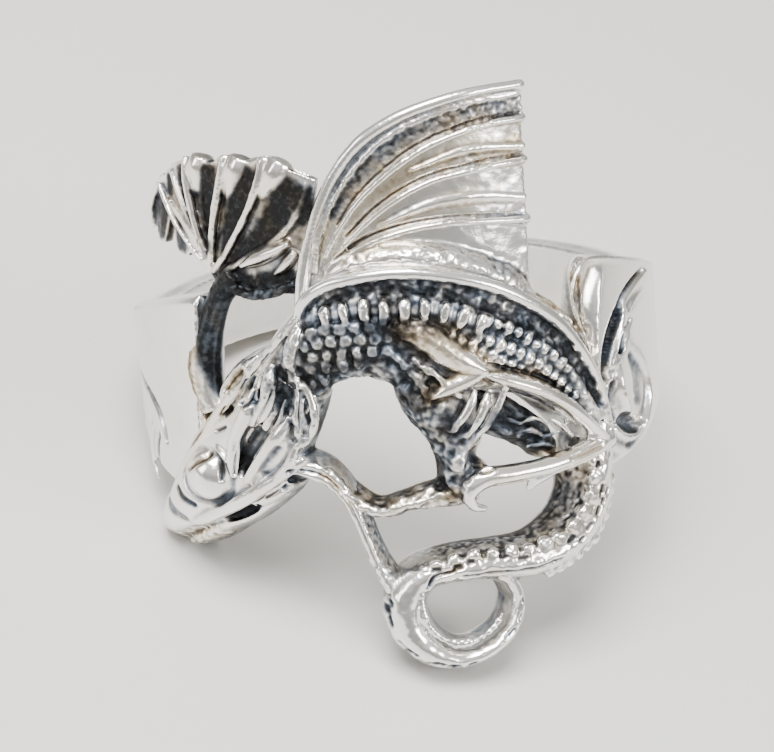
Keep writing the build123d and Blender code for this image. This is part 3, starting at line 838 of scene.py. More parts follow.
# warm tarnish of (share, path of (along, up, half-width))
HEAD_WARM = [
    (0.9, ((-9.8, -2.6, 0.5), (-8.2, -0.9, 0.5), (-6.6, 1.2, 0.5))),
    (0.8, ((-10.6, -6.7, 0.4), (-8.6, -6, 0.4))), (0.9, ((-3.3, -3.3, 0.5), (-2.6, -4.2, 0.4))),
    (0.8, ((-8.4, -2.7, 0.35), (-7.9, -2.3, 0.3))),
]
finish_skin(head_piece, paint, warm=HEAD_WARM, base=0.04, wide_gain=0.22)

# %% [markdown]
# ## The body
# The body arches over the finger. A smooth rim runs along its back, with a dark trough under it, a
# column of upright plates that break up into beads over the haunch, and bricks of scales behind the
# neck. A displacement picture could draw them, but it would be flat in a side view, so each one is
# a real pebble from the bead tree, with one path for a row. The chest and the belly are left
# craggy and black, as the polishing wheel never reached them.

# %% Lines of the body
# strands of (along, up, width, crest), wires of (along, up, rise, radius), cuts of (along, up, half-width)
TRUNK = (
    (-5.8, -0.9, 3, 2), (-4.6, 1, 3, 2.05), (-3.3, 2.5, 3.4, 2.1), (-1.2, 3.2, 4.3, 2.15),
    (0.8, 2.9, 4.8, 2.15), (2.8, 2.2, 4.4, 2.15), (4.9, 1.4, 3.6, 2.1), (6.4, 0.8, 2.6, 2.1),
    (7.5, -0.7, 1.4, 2.1), (8.3, -2.3, 0.9, 2.05),
)
BACK_RIM = (
    (-3.9, 3.3, 1.8, 0.2), (-3.5, 4.5, 1.95, 0.26), (-2.7, 5.2, 2.05, 0.27), (-1.4, 5.6, 2.15, 0.27),
    (0.3, 5.7, 2.2, 0.27), (2, 5.35, 2.2, 0.27), (3.6, 4.7, 2.2, 0.27), (5.1, 3.7, 2.15, 0.27),
    (6.4, 2.5, 2.1, 0.27), (7.3, 1.2, 2.1, 0.26), (8, -0.1, 2.05, 0.25), (8.5, -1.5, 2, 0.24),
    (8.8, -3, 1.95, 0.24),
)
RIM_FOOT = (
    (-3.6, 4.3, 0.5, 1.8), (-2.7, 5.15, 0.55, 1.95), (-1.4, 5.5, 0.6, 2.1), (0.3, 5.6, 0.6, 2.15),
    (2, 5.25, 0.6, 2.15), (3.6, 4.6, 0.6, 2.15), (5.1, 3.6, 0.6, 2.1), (6.4, 2.4, 0.55, 2.05),
    (7.3, 1.1, 0.5, 2), (8.4, -1.5, 0.5, 1.9),
)
TROUGH = (
    (-2.9, 4.3, 0.14), (-2.3, 4.75, 0.2), (-1.2, 5.05, 0.25), (0.2, 5.05, 0.28), (1.6, 4.8, 0.3),
    (3.1, 4.15, 0.32), (4.5, 3.25, 0.32), (5.9, 2.05, 0.32), (6.9, 0.85, 0.28), (7.7, -0.4, 0.22),
    (8.3, -1.6, 0.14),
)
print("the back's rim runs through", len(BACK_RIM), "spots")

# %% Lines of the plates and scales
# rows of beads of (along, up, rise, radius)
PLATES = (
    (-2.6, 4, 2.1, 0.38), (-1.4, 4.2, 2.2, 0.4), (-0.4, 4.15, 2.2, 0.42), (0.6, 4.1, 2.2, 0.43),
    (1.5, 4, 2.2, 0.43), (2.3, 3.65, 2.2, 0.4), (3.1, 3.2, 2.15, 0.36),
)
BEAD_ROWS = (
    (
        (3.4, 3.25, 2.1, 0.27), (4.6, 2.5, 2.1, 0.27), (5.6, 1.65, 2.1, 0.27), (6.5, 0.7, 2.05, 0.24),
        (7.25, -0.45, 2, 0.2), (7.85, -1.75, 1.95, 0.16),
    ),
    (
        (3, 2.6, 2.15, 0.28), (4.2, 1.9, 2.15, 0.28), (5.2, 1.1, 2.1, 0.26), (6.1, 0.2, 2.05, 0.23),
        (6.95, -0.9, 2, 0.19),
    ),
)
UNDER_PLATES = (
    (2, 2.85, 2.2, 0.25), (3, 2.05, 2.15, 0.24), (4, 1.35, 2.1, 0.22), (5, 0.55, 2.05, 0.2),
    (6, -0.35, 2, 0.17),
)
BRICK_ROWS = (
    ((-3.7, 3.1, 2.05, 0.27), (-2.9, 3.4, 2.1, 0.28), (-1.9, 3.5, 2.15, 0.28), (-1, 3.5, 2.15, 0.26)),
    (
        (-4, 2.5, 2.05, 0.26), (-3.2, 2.8, 2.12, 0.27), (-2.2, 2.95, 2.15, 0.28), (-1.1, 3, 2.15, 0.28),
        (-0.3, 3, 2.15, 0.24),
    ),
    (
        (-4.3, 1.85, 2, 0.24), (-3.4, 2.2, 2.05, 0.26), (-2.4, 2.4, 2.1, 0.27), (-1.3, 2.45, 2.15, 0.27),
        (-0.4, 2.45, 2.1, 0.24),
    ),
    ((-4.4, 1.2, 1.9, 0.22), (-3.6, 1.65, 2, 0.24), (-2.6, 1.9, 2.05, 0.25), (-1.5, 1.95, 2.05, 0.24)),
    ((-4.3, 0.5, 1.8, 0.2), (-3.6, 1, 1.85, 0.21), (-2.9, 1.3, 1.9, 0.21)),
)
print("the body has", len(BRICK_ROWS), "rows of bricks and", len(BEAD_ROWS), "rows of beads")

# %% Lines of the chest, the haunch and the limbs
# strands of (along, up, width, crest) and wires of (along, up, rise, radius)
BLADE = (
    (
        (-0.3, 3.35, 0.5, 2.3), (0.4, 3.25, 1.1, 2.6), (1.2, 2.75, 1.4, 2.7), (1.9, 2.1, 1.45, 2.75),
        (2.5, 1.6, 1.2, 2.75), (3.1, 1.2, 0.7, 2.65),
    ),
    (
        (0.9, 0.2, 0.3, 2.2), (1.5, 0.5, 0.8, 2.45), (2.1, 0.8, 1, 2.6), (2.7, 1.05, 0.9, 2.65),
        (3.2, 1.2, 0.6, 2.6),
    ),
)
CHEST = (
    (0.7, 1.7, 2.2, 2), (1.1, 0.7, 3, 2.05), (1.7, -0.5, 3, 2), (2.1, -1.8, 2.4, 1.85),
    (2.1, -3, 1.7, 1.75), (1.9, -4.3, 1.3, 1.6),
)
CREASES = (
    ((-0.4, 2.5, 2, 0.12), (0.3, 1.7, 2.1, 0.18), (0.9, 0.7, 2.1, 0.18), (1, -0.1, 2, 0.12)),
    ((0.5, 2, 2.1, 0.12), (1.3, 1.2, 2.2, 0.18), (1.9, 0.5, 2.2, 0.18), (2.2, 0.1, 2.1, 0.12)),
    ((0.9, 0.5, 2, 0.1), (1.7, 0.7, 2.15, 0.16), (2.5, 0.85, 2.2, 0.14)),
)
HAUNCH_RIBS = (
    ((1.65, -1.4, 1.9, 0.13), (2.15, -0.75, 2.15, 0.2), (2.6, 0.05, 2.15, 0.2), (2.75, 0.4, 2.1, 0.12)),
    ((2.3, -1.65, 1.9, 0.13), (2.75, -0.9, 2.2, 0.2), (3.1, -0.1, 2.2, 0.2), (3.2, 0.2, 2.1, 0.12)),
    ((2.7, -1.9, 1.5, 0.12), (3.2, -1.15, 1.95, 0.19), (3.6, -0.4, 2.1, 0.19), (3.85, 0.3, 2.3, 0.14)),
)
THIGH = (
    (2.9, 1.1, 0.4, 2.4), (3.6, 0.8, 0.9, 2.7), (4.5, 0.35, 1.05, 2.8), (5.4, -0.2, 1.05, 2.8),
    (6.3, -0.95, 1, 2.75), (7.1, -1.75, 0.95, 2.65), (7.8, -2.5, 0.9, 2.5), (8.4, -3.1, 0.9, 2.35),
)
BELLY = (
    (3.2, -0.8, 2, 1.6), (4.2, -1.4, 1.8, 1.6), (5.1, -2, 1.6, 1.55), (5.8, -2.6, 1.4, 1.5),
    (6.2, -3.3, 1, 1.5),
)
SHIN = (
    (8.8, -3.15, 1.9, 0.45), (7.6, -3.35, 1.95, 0.46), (6.3, -3.5, 1.95, 0.44), (5, -3.55, 1.95, 0.42),
    (3.8, -3.5, 2, 0.44), (2.9, -3.5, 2, 0.45), (2.4, -3.78, 2, 0.42), (2.22, -4.2, 1.95, 0.35),
    (2.4, -4.65, 1.85, 0.26), (2.95, -4.92, 1.75, 0.14),
)
KNEE = ((1.9, -3.2, 0.9, 1.7), (2.7, -3.3, 0.9, 1.7), (3.3, -3.4, 0.5, 1.6))
SPUR = ((5.9, -3.6, 1.95, 0.32), (5.3, -3.8, 1.95, 0.36), (4.9, -4.05, 1.9, 0.28), (4.65, -4.4, 1.85, 0.15))
ARM = (
    (-2.9, -3.5, 0.6, 1.3), (-2.3, -4.2, 0.75, 1.4), (-1.3, -4.75, 0.75, 1.45), (-0.3, -4.55, 0.75, 1.45),
    (0.9, -4.35, 0.95, 1.5), (2.1, -4.35, 1.1, 1.6), (2.8, -4.4, 0.7, 1.5),
)
SQUIGGLES = (
    ((4, -1.2, 1.7, 0.1), (4.6, -1.5, 1.75, 0.13), (5.2, -1.4, 1.75, 0.13), (5.8, -1.9, 1.75, 0.1)),
    ((4.4, -2.1, 1.65, 0.1), (5, -1.9, 1.7, 0.13), (5.6, -2.3, 1.7, 0.13), (6.3, -2.3, 1.7, 0.1)),
    ((4.8, -2.6, 1.6, 0.1), (5.4, -2.6, 1.65, 0.12), (6.1, -2.9, 1.65, 0.1)),
    ((3.4, -1.4, 1.5, 0.1), (4, -1.8, 1.5, 0.13), (4.4, -2.1, 1.4, 0.1)),
    ((5.9, -1.6, 1.7, 0.1), (6.5, -2.1, 1.75, 0.13), (7, -2.7, 1.7, 0.1)),
)
print("the haunch has", len(HAUNCH_RIBS), "ribs and the belly", len(SQUIGGLES), "squiggles")

# %% Body in one skin
TROUGH_FLOOR = [row[:2] + (row[2] * 4, 1.8) for row in TROUGH]
body_shapes = [strand(TRUNK, power=0.6)] + [strand(rows, power=0.5) for rows in BLADE + (TROUGH_FLOOR,)]
body_shapes += [strand(rows) for rows in (RIM_FOOT, CHEST, THIGH, BELLY, KNEE, ARM)]
body_shapes.append(ball(2.05, -2.75, 1.45, 0.5))  # the knuckle beside the shin
body_shapes.append(wires((BACK_RIM, SHIN, SPUR) + HAUNCH_RIBS + CREASES + SQUIGGLES))
body_shapes.append(beads([PLATES], 0.74, (0.6, 1.4, 0.8), variation=0.12, roundness=0.75, seed=3))
body_shapes.append(beads(BEAD_ROWS, 0.5, (0.8, 1.15, 0.95), variation=0.22, roundness=0.8, seed=4))
body_shapes.append(beads([UNDER_PLATES], 0.5, (0.85, 1.0, 0.9), variation=0.2, roundness=0.9, seed=8))
body_shapes.append(beads(BRICK_ROWS, 0.58, (0.98, 1.0, 0.8), variation=0.14, roundness=0.6, seed=5))
body_piece = weld("body_and_limbs", body_shapes, voxel=0.077, rounds=2)

# %% Carving of the body
# strokes of (depth, darkness, path of (along, up, half-width))
BODY_CUTS = [
    (0.12, 0.3, TROUGH),
    (0.06, 0.45, (
        (3.2, -3.78, 0.04), (4.2, -3.82, 0.05), (5.2, -3.82, 0.05), (6.4, -3.72, 0.05), (7.6, -3.5, 0.04),
    )),
    (0.15, 0.4, (
        (3.3, 1.4, 0.06), (4.4, 0.95, 0.08), (5.5, 0.35, 0.08), (6.6, -0.6, 0.08), (7.6, -1.8, 0.06),
    )),
    (0.9, 0.9, ((2.75, -2.6, 0.32), (2.9, -2.75, 0.32))),
    (0.1, 0.5, ((7.9, -3.2, 0.06), (7.2, -3.3, 0.09), (6.4, -3.35, 0.05))),
]
# rough parts of (height, size of a crag, darkness, path of (along, up, half-width))
BODY_ROUGH = [
    (0.05, 0.3, 0.72, ((-4.4, 1, 1), (-2.6, 2.8, 1.3), (-0.9, 3.2, 1.2))),
    (0.05, 0.3, 0.42, (
        (-0.3, 3.9, 0.9), (1.5, 3.7, 0.8), (3.5, 2.6, 0.9), (5.3, 1.1, 0.9), (7.2, -0.9, 0.6),
    )),
    (0.07, 0.28, 0.2, [row[:2] + (row[2] * 1.6,) for row in TROUGH]),
    (0.13, 0.34, 0.45, (
        (-4.6, -0.6, 0.5), (-3.9, 0.5, 0.55), (-2.9, 1.2, 0.5), (-1.5, 1.6, 0.6), (-0.3, 1.5, 0.6),
        (0.5, 0.5, 0.7),
    )),
    (0.1, 0.38, 0.55, (
        (0.4, 1.8, 0.6), (0.7, 0.6, 0.8), (0.9, -0.8, 0.8), (1.5, -2.2, 0.9), (1.9, -3.4, 0.8),
        (2, -4, 0.6),
    )),
    (0.02, 0.35, 0.35, ((2.2, -0.9, 0.9), (3.4, -0.9, 0.7))),
    (0.07, 0.35, 0.95, ((3.8, -1.2, 0.6), (5, -1.9, 0.8), (6.1, -2.7, 0.7))),
    (0.09, 0.35, 0.35, ((-2.6, -3.6, 0.5), (-1, -4.5, 0.6), (0.8, -4.2, 0.6), (2, -4.2, 0.5))),
    (0.018, 0.16, 0.3, ((0.2, 3.3, 0.5), (1.6, 2.6, 0.7), (2.9, 1.5, 0.5))),
    (0.018, 0.16, 0.2, ((1.2, 0.4, 0.4), (2.2, 0.9, 0.45))),
    (0, 0.3, -0.45, ((6.1, -1.9, 0.35), (7.1, -2.5, 0.35), (7.9, -2.95, 0.25))),
    (0.015, 0.2, 0.3, ((3.8, 0.9, 0.3), (4.9, 0.4, 0.35), (5.8, -0.3, 0.3))),
]
# paths of (along, up, half-width) that the polishing wheel reached
BODY_SHINE = [
    broad(BACK_RIM, 0.25), broad(SHIN, 0.42), broad(PLATES, 0.18),
    ((3.2, 0.7, 0.5), (4.6, 0.1, 0.75), (6.7, -1.6, 0.65), (8.3, -3.1, 0.5)),
    ((5, -3.6, 0.4), (4.7, -4.5, 0.35)), ((1.4, 0.4, 0.3), (2.4, 0.85, 0.35), (3.3, 1.25, 0.35)),
    ((2.6, 1.9, 0.3), (3.3, 1.3, 0.3)),
]
paint = carve(body_piece, BODY_CUTS, rough=BODY_ROUGH, polished=BODY_SHINE, grain=0.014)
# warm tarnish of (share, path of (along, up, half-width))
BODY_WARM = [
    (1, ((0.2, 3.3, 0.6), (1.6, 2.6, 0.8), (2.9, 1.5, 0.6))), (1, ((1.2, 0.4, 0.5), (2.2, 0.9, 0.5))),
    (0.15, ((0.8, 1.2, 0.8), (1.9, -1.4, 0.9))), (0.8, ((3.2, 0.8, 0.4), (4.6, 0.3, 0.6), (6, -0.8, 0.5))),
    (0.8, ((3.2, -3.4, 0.4), (7.6, -3.3, 0.4))),
    (0.7, ((-2, -4.2, 0.5), (0.2, -4.2, 0.5), (1.6, -4.2, 0.4))), (0.3, ((-2.6, 3, 0.6), (-1.6, 2.4, 0.5))),
]
finish_skin(body_piece, paint, warm=BODY_WARM, base=0.08, near_gain=0.5)

# %% [markdown]
# ## The tail
# The tail leaves the haunch on the right, turns under the dragon and ends in a loop. Its top
# is polished bright over a row of overlapping plates, with small pits where the wax was pressed in.
# The pits could be cut one by one, but there are fifty of them. So a seeded function scatters them
# beside the tail's middle line, and one strand makes each part of the tail.

# %% Lines of the tail
# strands of (along, up, width, crest) and rows of beads of (along, up, rise, radius)
TAIL = (
    (8.6, -2.4, 1.6, 2.1), (8.35, -3.4, 1.75, 2.2), (8.2, -4.4, 1.9, 2.25), (8.05, -5.5, 2, 2.25),
    (7.35, -6.6, 2, 2.25), (6.2, -7.3, 1.95, 2.25), (5, -7.6, 1.8, 2.25), (3.5, -7.5, 1.6, 2.2),
    (1.9, -7.4, 1.45, 2.15), (0.5, -7.55, 1.3, 2.1), (-0.3, -7.85, 1, 2), (-0.9, -8.2, 0.5, 1.8),
)
TAIL_LOOP = (
    (1.1, -7.4, 1.3, 2.1), (0.1, -7.8, 1.6, 2.15), (-0.55, -8.7, 1.9, 2.25), (-0.4, -9.9, 1.85, 2.25),
    (0.3, -10.85, 1.6, 2.25), (1.5, -11.4, 1.2, 2.1), (2.8, -11.1, 1, 2), (3.75, -10.3, 0.88, 1.9),
    (4.1, -9.2, 0.8, 1.85), (3.75, -8.3, 0.82, 1.85), (3, -7.7, 0.9, 1.85),
)
TAIL_PLATES = (
    (7.95, -3.9, 1.85, 0.46), (7.8, -5, 1.88, 0.5), (7.25, -6.1, 1.88, 0.5), (6.2, -6.85, 1.88, 0.48),
    (5, -7.1, 1.88, 0.46), (3.6, -7.1, 1.85, 0.43), (2, -7, 1.8, 0.4), (0.8, -7.2, 1.75, 0.36),
)
OUTER_PLATES = (
    (8.8, -4, 1.7, 0.3), (8.75, -5.3, 1.7, 0.34), (8.2, -6.8, 1.7, 0.34), (6.9, -7.8, 1.7, 0.32),
    (5.4, -8.2, 1.7, 0.3),
)
LOOP_BEADS = (
    (0.15, -8.3, 1.95, 0.18), (0.15, -9.2, 2.05, 0.22), (0.55, -10, 2.05, 0.22), (1.3, -10.55, 2, 0.2),
    (2.3, -10.5, 1.85, 0.16), (3.1, -9.9, 1.75, 0.14), (3.5, -9.1, 1.7, 0.12),
)
print("the loop runs through", len(TAIL_LOOP), "spots")


# %% Pits
def pits(seed, count, nearest, farthest, widths, rows):
    """Short carving strokes scattered to the left of a path of (along, up) rows, or right if negative."""
    line = smooth(rows, 0.05)
    heading = np.gradient(line, axis=0)
    heading /= np.linalg.norm(heading, axis=1)[:, None]
    chance = np.random.default_rng(seed)
    strokes = []
    for spot in chance.integers(0, len(line), count):
        across = chance.uniform(nearest, farthest) * np.array([-heading[spot][1], heading[spot][0]])
        half = chance.uniform(0.04, 0.16) * heading[spot]
        middle = line[spot] + across
        width = chance.uniform(*widths)
        ends = np.vstack([middle - half, middle + half])
        depth, dark = chance.uniform(0.06, 0.14), chance.uniform(0.35, 0.75)
        strokes.append((depth, dark, np.column_stack([ends, [width, width]])))
    return strokes


sample = pits(1, 3, 0, 0.1, (0.1, 0.2), ((0, 0), (1, 0)))
print("a pit is cut", round(sample[0][0], 2), "mm deep")

# %% Tail in one skin
tail_shapes = [strand(TAIL), strand(TAIL_LOOP)]
tail_shapes.append(beads([TAIL_PLATES], 0.78, (0.85, 1.1, 0.7), variation=0.12, roundness=0.7, seed=11))
tail_shapes.append(beads([OUTER_PLATES], 0.52, (0.85, 1.0, 0.8), variation=0.15, roundness=0.6, seed=12))
tail_shapes.append(beads([LOOP_BEADS], 0.3, (1.0, 1.0, 0.8), variation=0.25, roundness=0.9, seed=13))
tail_piece = weld("tail", tail_shapes, voxel=0.06, rounds=4)

# %% Carving of the tail
# pits of (seed, count, nearest, farthest, half-widths, path of (along, up))
TAIL_PITS = (
    (21, 9, -0.4, 0.1, (0.08, 0.13), ((8.3, -3.6), (8.1, -5.3), (7.5, -6.5), (6.4, -7.2), (5.2, -7.5))),
    (22, 5, -0.3, 0.1, (0.08, 0.13), ((5, -7.5), (3.5, -7.3), (1.9, -7.2), (0.6, -7.3))),
    (23, 30, -0.4, 0.05, (0.09, 0.15), (
        (-0.9, -8.2), (-1.1, -9.3), (-0.8, -10.4), (0.3, -11.3), (1.6, -11.7), (2.8, -11.4),
    )),
    (24, 6, -0.25, 0, (0.06, 0.1), ((2.4, -11), (3.5, -10.4), (4.05, -9.4), (3.9, -8.5))),
)
# strokes of (depth, darkness, path of (along, up, half-width))
TAIL_CUTS = [
    (0.07, 0.5, ((5.8, -7.65, 0.05), (4.4, -7.75, 0.07), (3, -7.65, 0.07), (1.8, -7.6, 0.05))),
    (0.25, 0.5, ((1.4, -7.3, 0.08), (0.7, -7.5, 0.14), (0.5, -8, 0.1))),
    (0, -0.4, ((-0.5, -8.4, 0.4), (-0.4, -9.7, 0.5), (0.3, -10.7, 0.4))),
]
# rough parts of (height, size of a crag, darkness, path of (along, up, half-width))
TAIL_ROUGH = [
    (0.04, 0.4, 0.05, (
        (8.2, -3.6, 0.9), (7.9, -5.6, 0.9), (6.4, -7.2, 0.9), (3.6, -7.4, 0.8), (0.8, -7.4, 0.8),
    )),
    (0.06, 0.35, 0.3, (
        (7.3, -4.3, 0.3), (7.1, -5.2, 0.3), (6.4, -6.1, 0.3), (5, -6.6, 0.3), (3.2, -6.55, 0.3),
        (1, -6.6, 0.3),
    )),
    (0.02, 0.5, 0, (
        (-0.7, -8.4, 0.8), (-0.5, -10.2, 0.8), (1.6, -11.4, 0.7), (3.6, -10.4, 0.6), (4.1, -8.8, 0.5),
    )),
]
scattered = [stroke for row in TAIL_PITS for stroke in pits(*row)]
print("the tail has", len(scattered), "pits")
paint = carve(tail_piece, scattered + TAIL_CUTS, rough=TAIL_ROUGH, grain=0.014)
# warm tarnish of (share, path of (along, up, half-width))
TAIL_WARM = [(0.45, ((7.9, -4, 0.7), (7.2, -6.2, 0.7), (5, -7.1, 0.6), (1, -7.1, 0.6)))]
finish_skin(tail_piece, paint, warm=TAIL_WARM, base=0.02, wall_gain=0.42)

# %% [markdown]
# ## The main wing
# The wing stands up behind the back. A heavy leading edge sweeps up and to the right, three
# ribs fan out below it, and a thin skin with soft folds joins them. A cloth simulation would give
# folds too, but not the few that the carver chose. So the skin is a slab between two outlines, the
# ribs are wires that end in little balls at the rear edge, and the folds are raised by the carving
# tool run backwards.

# %% Lines of the main wing
# wires and tips of (along, up, rise, radius), strands of (along, up, width, crest),
# cuts and folds of (along, up, half-width), outlines of (along, up)
LEADING = (
    (-3.8, 3.7, 1.3, 0.34), (-3.7, 4.8, 1.3, 0.33), (-3.5, 6, 1.25, 0.31), (-3.1, 7.3, 1.2, 0.29),
    (-2.75, 8.3, 1.2, 0.28), (-2.05, 9.7, 1.15, 0.27), (-0.95, 11, 1.15, 0.27), (0.55, 11.9, 1.1, 0.26),
    (2.3, 12.4, 1.1, 0.25), (4.15, 12.62, 1.1, 0.23), (5.95, 12.6, 1.1, 0.21),
)
SECOND_EDGE = (
    (-3.1, 5.6, 1.2, 0.09), (-2.85, 6.9, 1.2, 0.1), (-2.35, 8.2, 1.15, 0.1), (-1.6, 9.45, 1.1, 0.1),
    (-0.55, 10.6, 1.1, 0.1), (0.8, 11.45, 1.05, 0.1), (2.45, 11.96, 1.05, 0.09), (4.2, 12.22, 1.05, 0.09),
    (5.9, 12.2, 1.05, 0.08),
)
LEADING_LINE = (
    (-3.25, 5.6, 0.06), (-3, 7, 0.07), (-2.5, 8.25, 0.07), (-1.8, 9.55, 0.07), (-0.7, 10.8, 0.07),
    (0.7, 11.65, 0.06), (2.4, 12.18, 0.06), (4.2, 12.44, 0.06), (5.6, 12.42, 0.05),
)
WING_RIBS = (
    (
        (-2.6, 6.3, 1.5, 0.13), (-2, 7.4, 1.5, 0.15), (-1.3, 8.4, 1.45, 0.15), (-0.2, 9.45, 1.4, 0.15),
        (1.3, 10.45, 1.35, 0.15), (3.1, 11.05, 1.3, 0.15), (4.6, 11.25, 1.3, 0.15), (5.9, 11.2, 1.2, 0.15),
    ),
    (
        (-2.6, 5.7, 1.45, 0.13), (-1.7, 6.9, 1.45, 0.15), (-0.5, 8, 1.4, 0.15), (0.6, 8.7, 1.35, 0.15),
        (1.7, 9.15, 1.3, 0.15), (3.3, 9.4, 1.3, 0.15), (5, 9.5, 1.3, 0.15), (5.85, 9.45, 1.2, 0.15),
    ),
    (
        (-2.8, 5.2, 1.45, 0.13), (-2.2, 6.05, 1.45, 0.15), (-1.1, 6.7, 1.4, 0.15), (0.5, 7.2, 1.35, 0.15),
        (2.3, 7.35, 1.3, 0.15), (4, 7.2, 1.3, 0.15), (5.75, 6.95, 1.2, 0.15),
    ),
)
WING_TIPS = (
    (5.95, 12.55, 1.05, 0.27), (5.95, 12.05, 0.95, 0.18), (5.95, 11.6, 1, 0.18), (5.95, 11.2, 1.1, 0.24),
    (5.9, 10.5, 0.9, 0.15), (5.9, 10, 0.95, 0.18), (5.88, 9.45, 1.1, 0.24), (5.85, 8.6, 0.9, 0.14),
    (5.82, 7.85, 0.95, 0.18), (5.8, 6.95, 1.1, 0.24), (5.78, 6.1, 0.95, 0.16),
)
WING_ROOT = (
    (-2.7, 5.4, 0.6, 1.6), (-1.6, 6, 1.1, 1.75), (0.2, 6.2, 1.3, 1.8), (2, 5.85, 1.4, 1.8),
    (3.6, 5.15, 1.4, 1.75), (5, 4.2, 1.4, 1.6), (5.8, 3.4, 1.1, 1.4),
)
WING_FOLDS = (
    ((1, 9.7, 0.04), (3.4, 10.25, 0.16), (6, 10, 0.15)),
    ((-0.4, 7.5, 0.04), (1.8, 8.2, 0.18), (3.7, 8.25, 0.2), (5.8, 7.85, 0.15)),
)
WING_UPPER = (
    (-3.75, 4), (-3.65, 6.2), (-3.05, 8.2), (-2, 9.8), (-0.7, 11.2), (1, 12.1), (3.8, 12.5), (6, 12.5),
)
WING_LOWER = ((-2.2, 5.0), (-1.2, 5.3), (0.4, 5.4), (2.0, 5.0), (3.6, 4.4), (5.0, 3.4), (5.85, 2.6))
MEMBRANE, UNDERSIDE = 1.05, 0.45  # rises of the thin skin between the ribs
print("the main wing has", len(WING_RIBS), "ribs and", len(WING_TIPS), "balls on its rear edge")


# %% Main wing in one skin
def panel(first, last, rise, underside, columns=120, rows=80):
    """A slab over the finger's skin between two outlines, from its underside up to its rise."""
    start, end = (smooth(outline, 0.01) for outline in (first, last))
    share = np.linspace(0, 1, rows)[:, None, None]
    a = start[np.linspace(0, len(start) - 1, columns).astype(int)][None]
    b = end[np.linspace(0, len(end) - 1, columns).astype(int)][None]
    grid = a + (b - a) * share
    along, up = grid[..., 0], grid[..., 1]
    return slab((along, up, np.full_like(up, rise)), (along, up, np.full_like(up, underside)))


tips = [(tip, (tip[0] + 0.2,) + tip[1:]) for tip in WING_TIPS]
wing_shapes = [
    panel(WING_UPPER, WING_LOWER, MEMBRANE, UNDERSIDE), strand(WING_ROOT),
    wires(WING_RIBS + (LEADING, SECOND_EDGE)),
]
wing_shapes.append(beads(tips, 1.0, (1.0, 0.9, 0.85), variation=0.1, roundness=1.0, seed=7))
wing_piece = weld("main_wing", wing_shapes, voxel=0.068)

# %% Carving of the main wing
# each fold is raised, the leading edge has a bright line, and each rib has a dark crease above it
strokes = [(-0.1, -0.05, rows) for rows in WING_FOLDS]
strokes += [(0.05, -0.1, LEADING_LINE)]
for rib in WING_RIBS:
    widths = np.linspace(0.08, 0.03, len(rib) - 1)
    crease = [(row[0] - 0.05, row[1] + 0.22, width) for row, width in zip(rib[1:], widths)]
    strokes.append((0.08, 0.35, crease))
# strokes of (depth, darkness, path of (along, up, half-width))
WING_CUTS = [
    (0, 0.5, ((-2.2, 7.9, 0.2), (-1, 9.6, 0.42), (0.9, 10.95, 0.5), (3, 11.6, 0.5), (5.9, 11.75, 0.5))),
    (0, 0.26, ((-1.5, 7.6, 0.2), (0.2, 9.1, 0.4), (2.2, 9.95, 0.5), (5.9, 10.1, 0.5))),
    (0, 0.16, ((-1.5, 6.7, 0.2), (0.5, 7.8, 0.4), (3, 8.3, 0.5), (5.9, 8.2, 0.5))),
    (0, 0.15, ((-1.9, 6, 0.2), (-0.6, 6.4, 0.3), (1.2, 6.35, 0.3), (3.4, 5.7, 0.3), (5.2, 4.6, 0.4))),
    (0, -0.3, ((0.8, 6.5, 0.5), (3, 6.4, 0.6), (5.2, 6, 0.6))),
]
# rough parts of (height, size of a crag, darkness, path of (along, up, half-width))
WING_ROUGH = [
    (0.035, 0.22, 0.1, (
        (-2.2, 7.9, 0.3), (-1, 9.6, 0.5), (0.9, 10.95, 0.6), (3, 11.6, 0.5), (5.9, 11.75, 0.4),
    )),
    (0.015, 0.3, 0.06, ((-1.7, 7.3, 0.3), (0.2, 8.9, 0.6), (2.2, 9.7, 0.7), (5.9, 9.9, 0.7))),
    (0.012, 0.35, 0.04, ((-1.9, 6.3, 0.3), (0.5, 7.6, 0.5), (3, 8.1, 0.7), (5.9, 8, 0.7))),
    (0.015, 0.6, 0, ((1, 6.9, 0.5), (3.2, 6.6, 0.7), (5.4, 5.8, 0.8))),
    (0.06, 0.3, 0.2, (
        (-1.6, 6.1, 0.3), (0.8, 6.3, 0.3), (2.8, 5.8, 0.35), (4.6, 4.9, 0.4), (5.6, 4.2, 0.4),
    )),
]
paint = carve(wing_piece, strokes + WING_CUTS, rough=WING_ROUGH, grain=0.012)
# warm tarnish of (share, path of (along, up, half-width))
WING_WARM = [
    (0.75, ((-2.4, 6.6, 0.8), (0.5, 9.4, 1.2), (2.5, 10.6, 1.3), (5.5, 10.4, 1.3))),
    (0.6, ((-2.4, 5.6, 0.5), (0, 7.2, 0.7), (3, 8, 0.8))),
]
finish_skin(wing_piece, paint, warm=WING_WARM, base=0.02, wide_gain=0.1)

# %% [markdown]
# ## The second wing
# The second wing is a pleated fan on an arm that climbs from the left shoulder. Its ribs end in
# bright flares, and the thin skin between them was left black, so they stand out. Two ragged lobes
# of the same thin skin hang from its front edge. Pleats could be folded from one sheet, but the
# ribs are round on the real ring, so they are wires laid on a panel.

